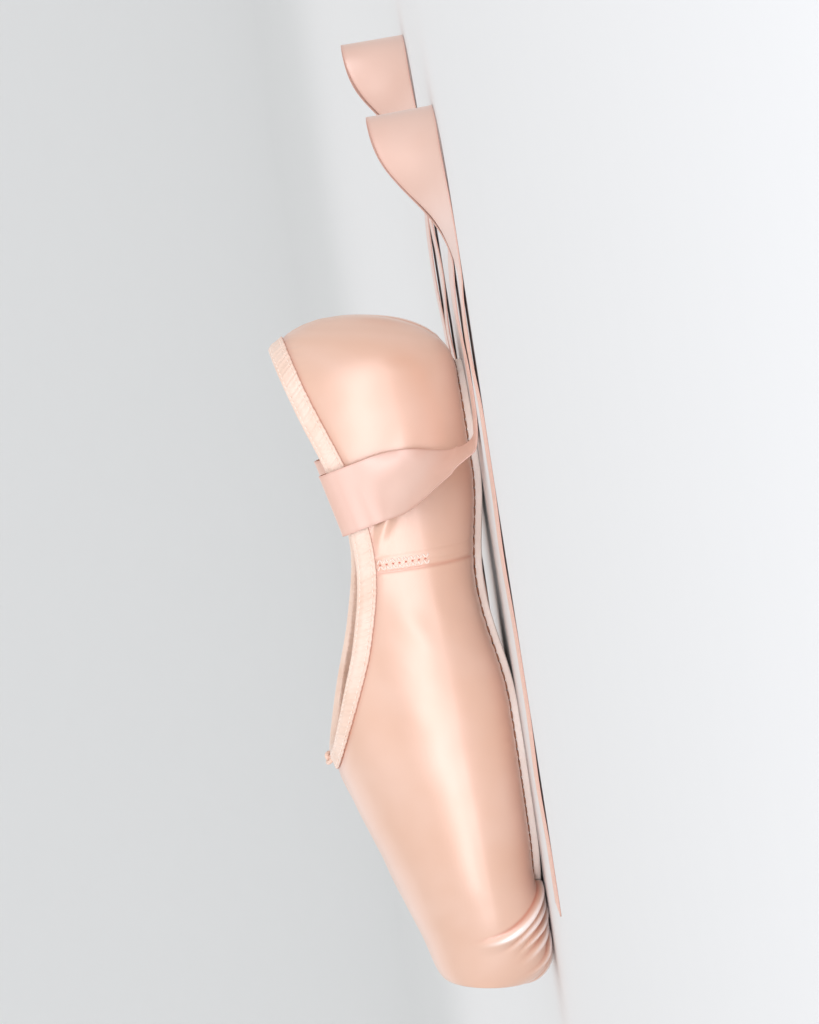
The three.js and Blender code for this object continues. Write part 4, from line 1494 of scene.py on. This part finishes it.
# %% Sew the casing
CASING_STITCH, CASING_STITCH_SHARE = 1.95, 0.72
RIBBON_CLEARANCE = 12.5


def casing_row(down, out):
    steps = np.arange(COLLAR_STEPS)
    depth = down(collar_loop[:, 0])
    return on_casing(steps, depth, out + 0 * depth)


def make_casing_stitches():
    rows = []
    lower = casing_row(lambda x: casing_depth(x) - LOWER_ROW_UP, CASING_OUT - 0.12)
    upper = casing_row(lambda x: UPPER_ROW_DOWN + 0 * x, CASING_OUT - 0.1)
    for line, normals in (lower, upper):
        places, out = spaced_line(line, normals, CASING_STITCH, closed=True)
        clear = np.abs(places[:-1, 0] - RIBBON_X) > RIBBON_CLEARANCE
        row = running_stitches(places, out, CASING_STITCH_SHARE)
        rows.append([part[clear] for part in row])
    return make_stitches("casing_stitches", rows, radius=0.2, arch=0.2,
                         finish=pale_thread)


casing_stitches = make_casing_stitches()

# %% [markdown]
# ## The side seams
# Vamp and quarter meet in a seam down each side. Behind it, on the upper half, two rows of
# zigzag stitches hold the layers. Each zig is one stitch between two neighbouring lines.
# Between the rows small darker dots show where the needle goes through: they are short
# stitches of a darker thread, whose colour is painted shade.

# %% Find places on the satin
def satin_row(x, z, side):
    """Points of the sewn satin at x and the heights z on one side."""
    middle = outer_columns // 2
    half = outer[:, middle:] if side > 0 else outer[:, middle::-1]
    after = int(np.searchsorted(station_x, x))
    share = (x - station_x[after - 1]) / (station_x[after] - station_x[after - 1])
    sides = [np.interp(z, half[row, SEAT_COLUMNS:, 2], half[row, SEAT_COLUMNS:, 1])
             for row in (after - 1, after)]
    return np.stack([x + 0 * z, sides[0] + share * (sides[1] - sides[0]), z], -1)


def satin_line(x, z, side):
    """Points of the satin at x and the heights z, with the directions out of the shoe."""
    line = satin_row(x, z, side)
    ahead = satin_row(x + 1, z, side) - satin_row(x - 1, z, side)
    normal = np.cross(np.gradient(line, axis=0), ahead)
    return line, unit(normal * np.sign(normal[:, 1:2]) * side)


# %% Sew the side seams
ZIGZAG_TOP_GAP = 0.6
ZIGZAG_LENGTH = 18
ZIGZAG_PITCH = 1.05
ZIGZAG_WIDTH = 1.55
ZIGZAG_LIFT = 0.08
ZIGZAG_SHARE = 0.94
CROSSING_START, CROSSING_END = 0.25, 0.63
ZIGZAG_FIRST, ZIGZAG_SECOND = -0.6, -2.75

zigzag_top = collar_height(np.float64(SEAM_X)) - CASING_DEPTH - ZIGZAG_TOP_GAP
zigzag_heights = np.linspace(zigzag_top, zigzag_top - ZIGZAG_LENGTH - 4, 200)


def make_zigzags():
    rows = []
    count = int(ZIGZAG_LENGTH / ZIGZAG_PITCH)
    for side in (1, -1):
        for first in (ZIGZAG_FIRST, ZIGZAG_SECOND):
            lines = []
            for x in (SEAM_X + first, SEAM_X + first - ZIGZAG_WIDTH):
                line, normal = satin_line(x, zigzag_heights, side)
                lines.append(spaced_line(line + normal * ZIGZAG_LIFT, normal, ZIGZAG_PITCH))
            path, facing = (np.array([lines[i % 2][part][i] for i in range(count + 1)])
                            for part in (0, 1))
            rows.append(running_stitches(path, facing, ZIGZAG_SHARE))
    return make_stitches("side_seam_zigzags", rows, radius=0.3, arch=0.12,
                         finish=pale_thread)


def make_seam_crossings_painted_shade():
    """Short stitches of a darker thread, painted shade for the needle holes, in the middle between
    the two rows.
    """
    rows = []
    middle = (ZIGZAG_FIRST - ZIGZAG_WIDTH + ZIGZAG_SECOND) / 2
    count = int(ZIGZAG_LENGTH / ZIGZAG_PITCH / 2)
    for side in (1, -1):
        line, normal = satin_line(SEAM_X + middle, zigzag_heights, side)
        places, out = spaced_line(line + normal * ZIGZAG_LIFT, normal, 2 * ZIGZAG_PITCH)
        rows.append(running_stitches(places[:count + 1], out[:count + 1],
                                     CROSSING_END, CROSSING_START))
    return make_stitches("side_seam_crossings_painted_shade", rows, radius=0.3, arch=0.05,
                         finish=seam_thread_painted_shade)


side_seam_zigzags = make_zigzags()
side_seam_crossings_painted_shade = make_seam_crossings_painted_shade()

# %% [markdown]
# ## The sock and the inside
# Inside, a sock of cotton lies over the insole board. It follows the round bottom of the
# lining, so its edges turn up a little.

# %% Lay the sock
SOCK_BACK, SOCK_TIP, SOCK_ROUND, SOCK_SPREAD = -101, 103, 20, 4
SOCK_CLEARANCE, SOCK_THICKNESS, SOCK_SWELL = 0.5, 1.6, 0.12
SOCK_FIRST_SHARE, SOCK_STATIONS, SOCK_COLUMNS = 0.012, 150, 41
SOCK_EDGE_FROM, SOCK_EDGE_THINNEST = 0.93, 0.02


def inside_floor(x, y):
    into = np.clip((HEEL_ROUND_X - x) / (HEEL_ROUND_DEPTH - QUARTER_WALL), 0, 0.99)
    share = np.sqrt(1 - into ** 2)
    section = plain_sections(x, 1)
    half, seat = section[..., 1] * share, section[..., 2] * share
    low = HEEL_BULGE_Z + share * (section[..., 3] - HEEL_BULGE_Z)
    widest = HEEL_BULGE_Z + share * (section[..., 4] - HEEL_BULGE_Z)
    beyond = np.clip((np.abs(y) - seat) / (half - seat), 0, 1)
    return widest - (widest - low) * np.sqrt(1 - beyond ** 2)


def make_sock():
    spread = np.linspace(SOCK_FIRST_SHARE, 1 - SOCK_FIRST_SHARE, SOCK_STATIONS)
    x = (SOCK_BACK + SOCK_TIP) / 2 - (SOCK_TIP - SOCK_BACK) / 2 * np.cos(np.pi * spread)
    share = rounded_share(x, SOCK_BACK, SOCK_ROUND, SOCK_TIP, SOCK_ROUND)
    half = (read_table(FORM, FORM_SEAT, x) + SOCK_SPREAD) * share
    across = np.linspace(-1, 1, SOCK_COLUMNS)
    y = half[:, None] * across[None, :]
    grid_x = np.broadcast_to(x[:, None], y.shape)
    floor = inside_floor(grid_x, y) + SOCK_CLEARANCE
    rounding = smoothstep(SOCK_EDGE_FROM, 1.0, np.abs(across))
    edge = np.sqrt(np.clip(1 - rounding ** 2, SOCK_EDGE_THINNEST, 1))
    swell = SOCK_SWELL * np.sin(grid_x * 0.21) * np.sin(y * 0.17 + 1)
    low = np.stack([grid_x, y, floor], -1)
    high = np.stack([grid_x, y, floor + SOCK_THICKNESS * edge[None, :] + swell * edge], -1)
    points, faces = slab(low, high)
    return make_piece("cotton_sock", points, faces, [sock_cotton],
                      stands_for=["insole"])


cotton_sock = make_sock()

# %% [markdown]
# ## The drawstring's knot
# The two ends of the drawstring come out at the front of the throat and are tied. The knot
# is one tube along the curve of an overhand knot, pressed flat against the casing.

# %% Tie the knot
KNOT = np.array([32.4, 0, 66.2])
KNOT_SIZE = (0.62, 1.3, 0.72)
KNOT_RADIUS, KNOT_STEPS, KNOT_SIDES = 0.72, 140, 12


def make_knot():
    t = spaced(0, 2 * np.pi, KNOT_STEPS)
    long, wide, high = KNOT_SIZE
    line = np.stack([
        long * (np.cos(t) - 2 * np.cos(2 * t)),
        wide * (np.sin(t) + 2 * np.sin(2 * t)),
        -high * np.sin(3 * t),
    ], -1) + KNOT
    along = unit(np.roll(line, -1, axis=0) - np.roll(line, 1, axis=0))
    never_along = np.array([0.31, 0.17, 0.93])
    across = unit(np.cross(along, never_along))
    out = np.cross(along, across)
    ring = line[:, None] + circles(across, out, KNOT_SIDES) * KNOT_RADIUS
    faces = grid_faces(KNOT_STEPS, KNOT_SIDES, round_rows=True, round_columns=True)
    return make_piece("drawn_knot", ring.reshape(-1, 3), faces, [cord_cotton],
                      stands_for=["drawstring_knot"])


drawn_knot = make_knot()

# %% [markdown]
# ## Light and floor
# A studio with soft light. One long low softbox stands along the shoe on the camera's side:
# satin mirrors it as the pale streak. Its light is a little blue, so that the streak is
# white and not yellow on the peach cloth. A tall dim panel behind it lights the whole side,
# two small ones above and on the far side shape the rest, and a bright world fills the
# shadows. The floor is pale and turns up into a wall far behind, clear of any camera.

# %% Set the studio
STREAK_LIGHT = {"place": (-0.8, 2.7, 0.42), "size": (6.4, 0.3), "power": 45}
FRONT_LIGHT = {"place": (-0.3, 2.85, 0.62), "size": (5.4, 1.2), "power": 12}
KEY_LIGHT = {"place": (-0.3, 0.9, 1.7), "size": (1.6, 1.2), "power": 2.2}
FILL_LIGHT = {"place": (0.3, -1.2, 1.1), "size": (1.6, 1.2), "power": 2.5}
SOFTBOX_COLOUR = (1.0, 0.94, 0.98)
STREAK_COLOUR = (0.85, 0.89, 1.0)
LIGHTS_AIM_HEIGHT = 0.03
WORLD_COLOUR, WORLD_STRENGTH = (0.985, 1.0, 1.0, 1), 0.82


def make_softbox(name, place, size, power, colour=SOFTBOX_COLOUR):
    data = bpy.data.lights.new(name, "AREA")
    data.shape = "RECTANGLE"
    data.size, data.size_y = size
    data.energy = power
    data.color = colour
    lamp = bpy.data.objects.new(name, data)
    lamp.location = place
    lamp.visible_camera = False
    aim = Vector((place[0], 0, LIGHTS_AIM_HEIGHT))
    lamp.rotation_euler = (aim - Vector(place)).to_track_quat("-Z", "Y").to_euler()
    bpy.context.scene.collection.objects.link(lamp)
    return lamp


make_softbox("streak_softbox", **STREAK_LIGHT, colour=STREAK_COLOUR)
make_softbox("front_softbox", **FRONT_LIGHT)
make_softbox("key_softbox", **KEY_LIGHT)
make_softbox("fill_softbox", **FILL_LIGHT)

world = bpy.data.worlds.new("studio")
bpy.context.scene.world = world
world.use_nodes = True
background = world.node_tree.nodes["Background"]
background.inputs["Color"].default_value = WORLD_COLOUR
background.inputs["Strength"].default_value = WORLD_STRENGTH
bpy.context.scene.view_settings.view_transform = "Standard"
bpy.context.scene.view_settings.look = "None"


FLOOR_NEAR, FLOOR_FAR, FLOOR_HALF_WIDTH = 5000.0, -3400.0, 5000
WALL_BEND, WALL_HEIGHT = 900.0, 5200.0
FLOOR_PALE, FLOOR_GREY, FLOOR_GRAIN_SIZE = (0.83, 0.83, 0.83), (0.8, 0.8, 0.8), 40.0


def make_floor():
    finish = Finish("studio_floor", Roughness=0.75, Specular_IOR_Level=0.15)
    grain = finish.noise(finish.place(), FLOOR_GRAIN_SIZE, detail=3.0)
    finish.set("Base Color", finish.mix(grain * 0.3, FLOOR_PALE, FLOOR_GREY))
    bend = [(FLOOR_FAR - WALL_BEND * math.sin(a), WALL_BEND - WALL_BEND * math.cos(a))
            for a in np.linspace(0, np.pi / 2, 24)]
    curve = [(FLOOR_NEAR, 0.0)] + bend + [(FLOOR_FAR - WALL_BEND, WALL_HEIGHT)]
    across = np.linspace(-FLOOR_HALF_WIDTH, FLOOR_HALF_WIDTH, 2)
    points = [(x, y, z) for y, z in curve for x in across]
    mesh = bpy.data.meshes.new("studio_floor")
    mesh.from_pydata((np.array(points) * MM).tolist(), [], grid_faces(len(curve), 2))
    for polygon in mesh.polygons:
        polygon.use_smooth = True
    mesh.materials.append(finish.material)
    floor = bpy.data.objects.new("studio_floor", mesh)
    bpy.context.scene.collection.objects.link(floor)
    return floor


make_floor()
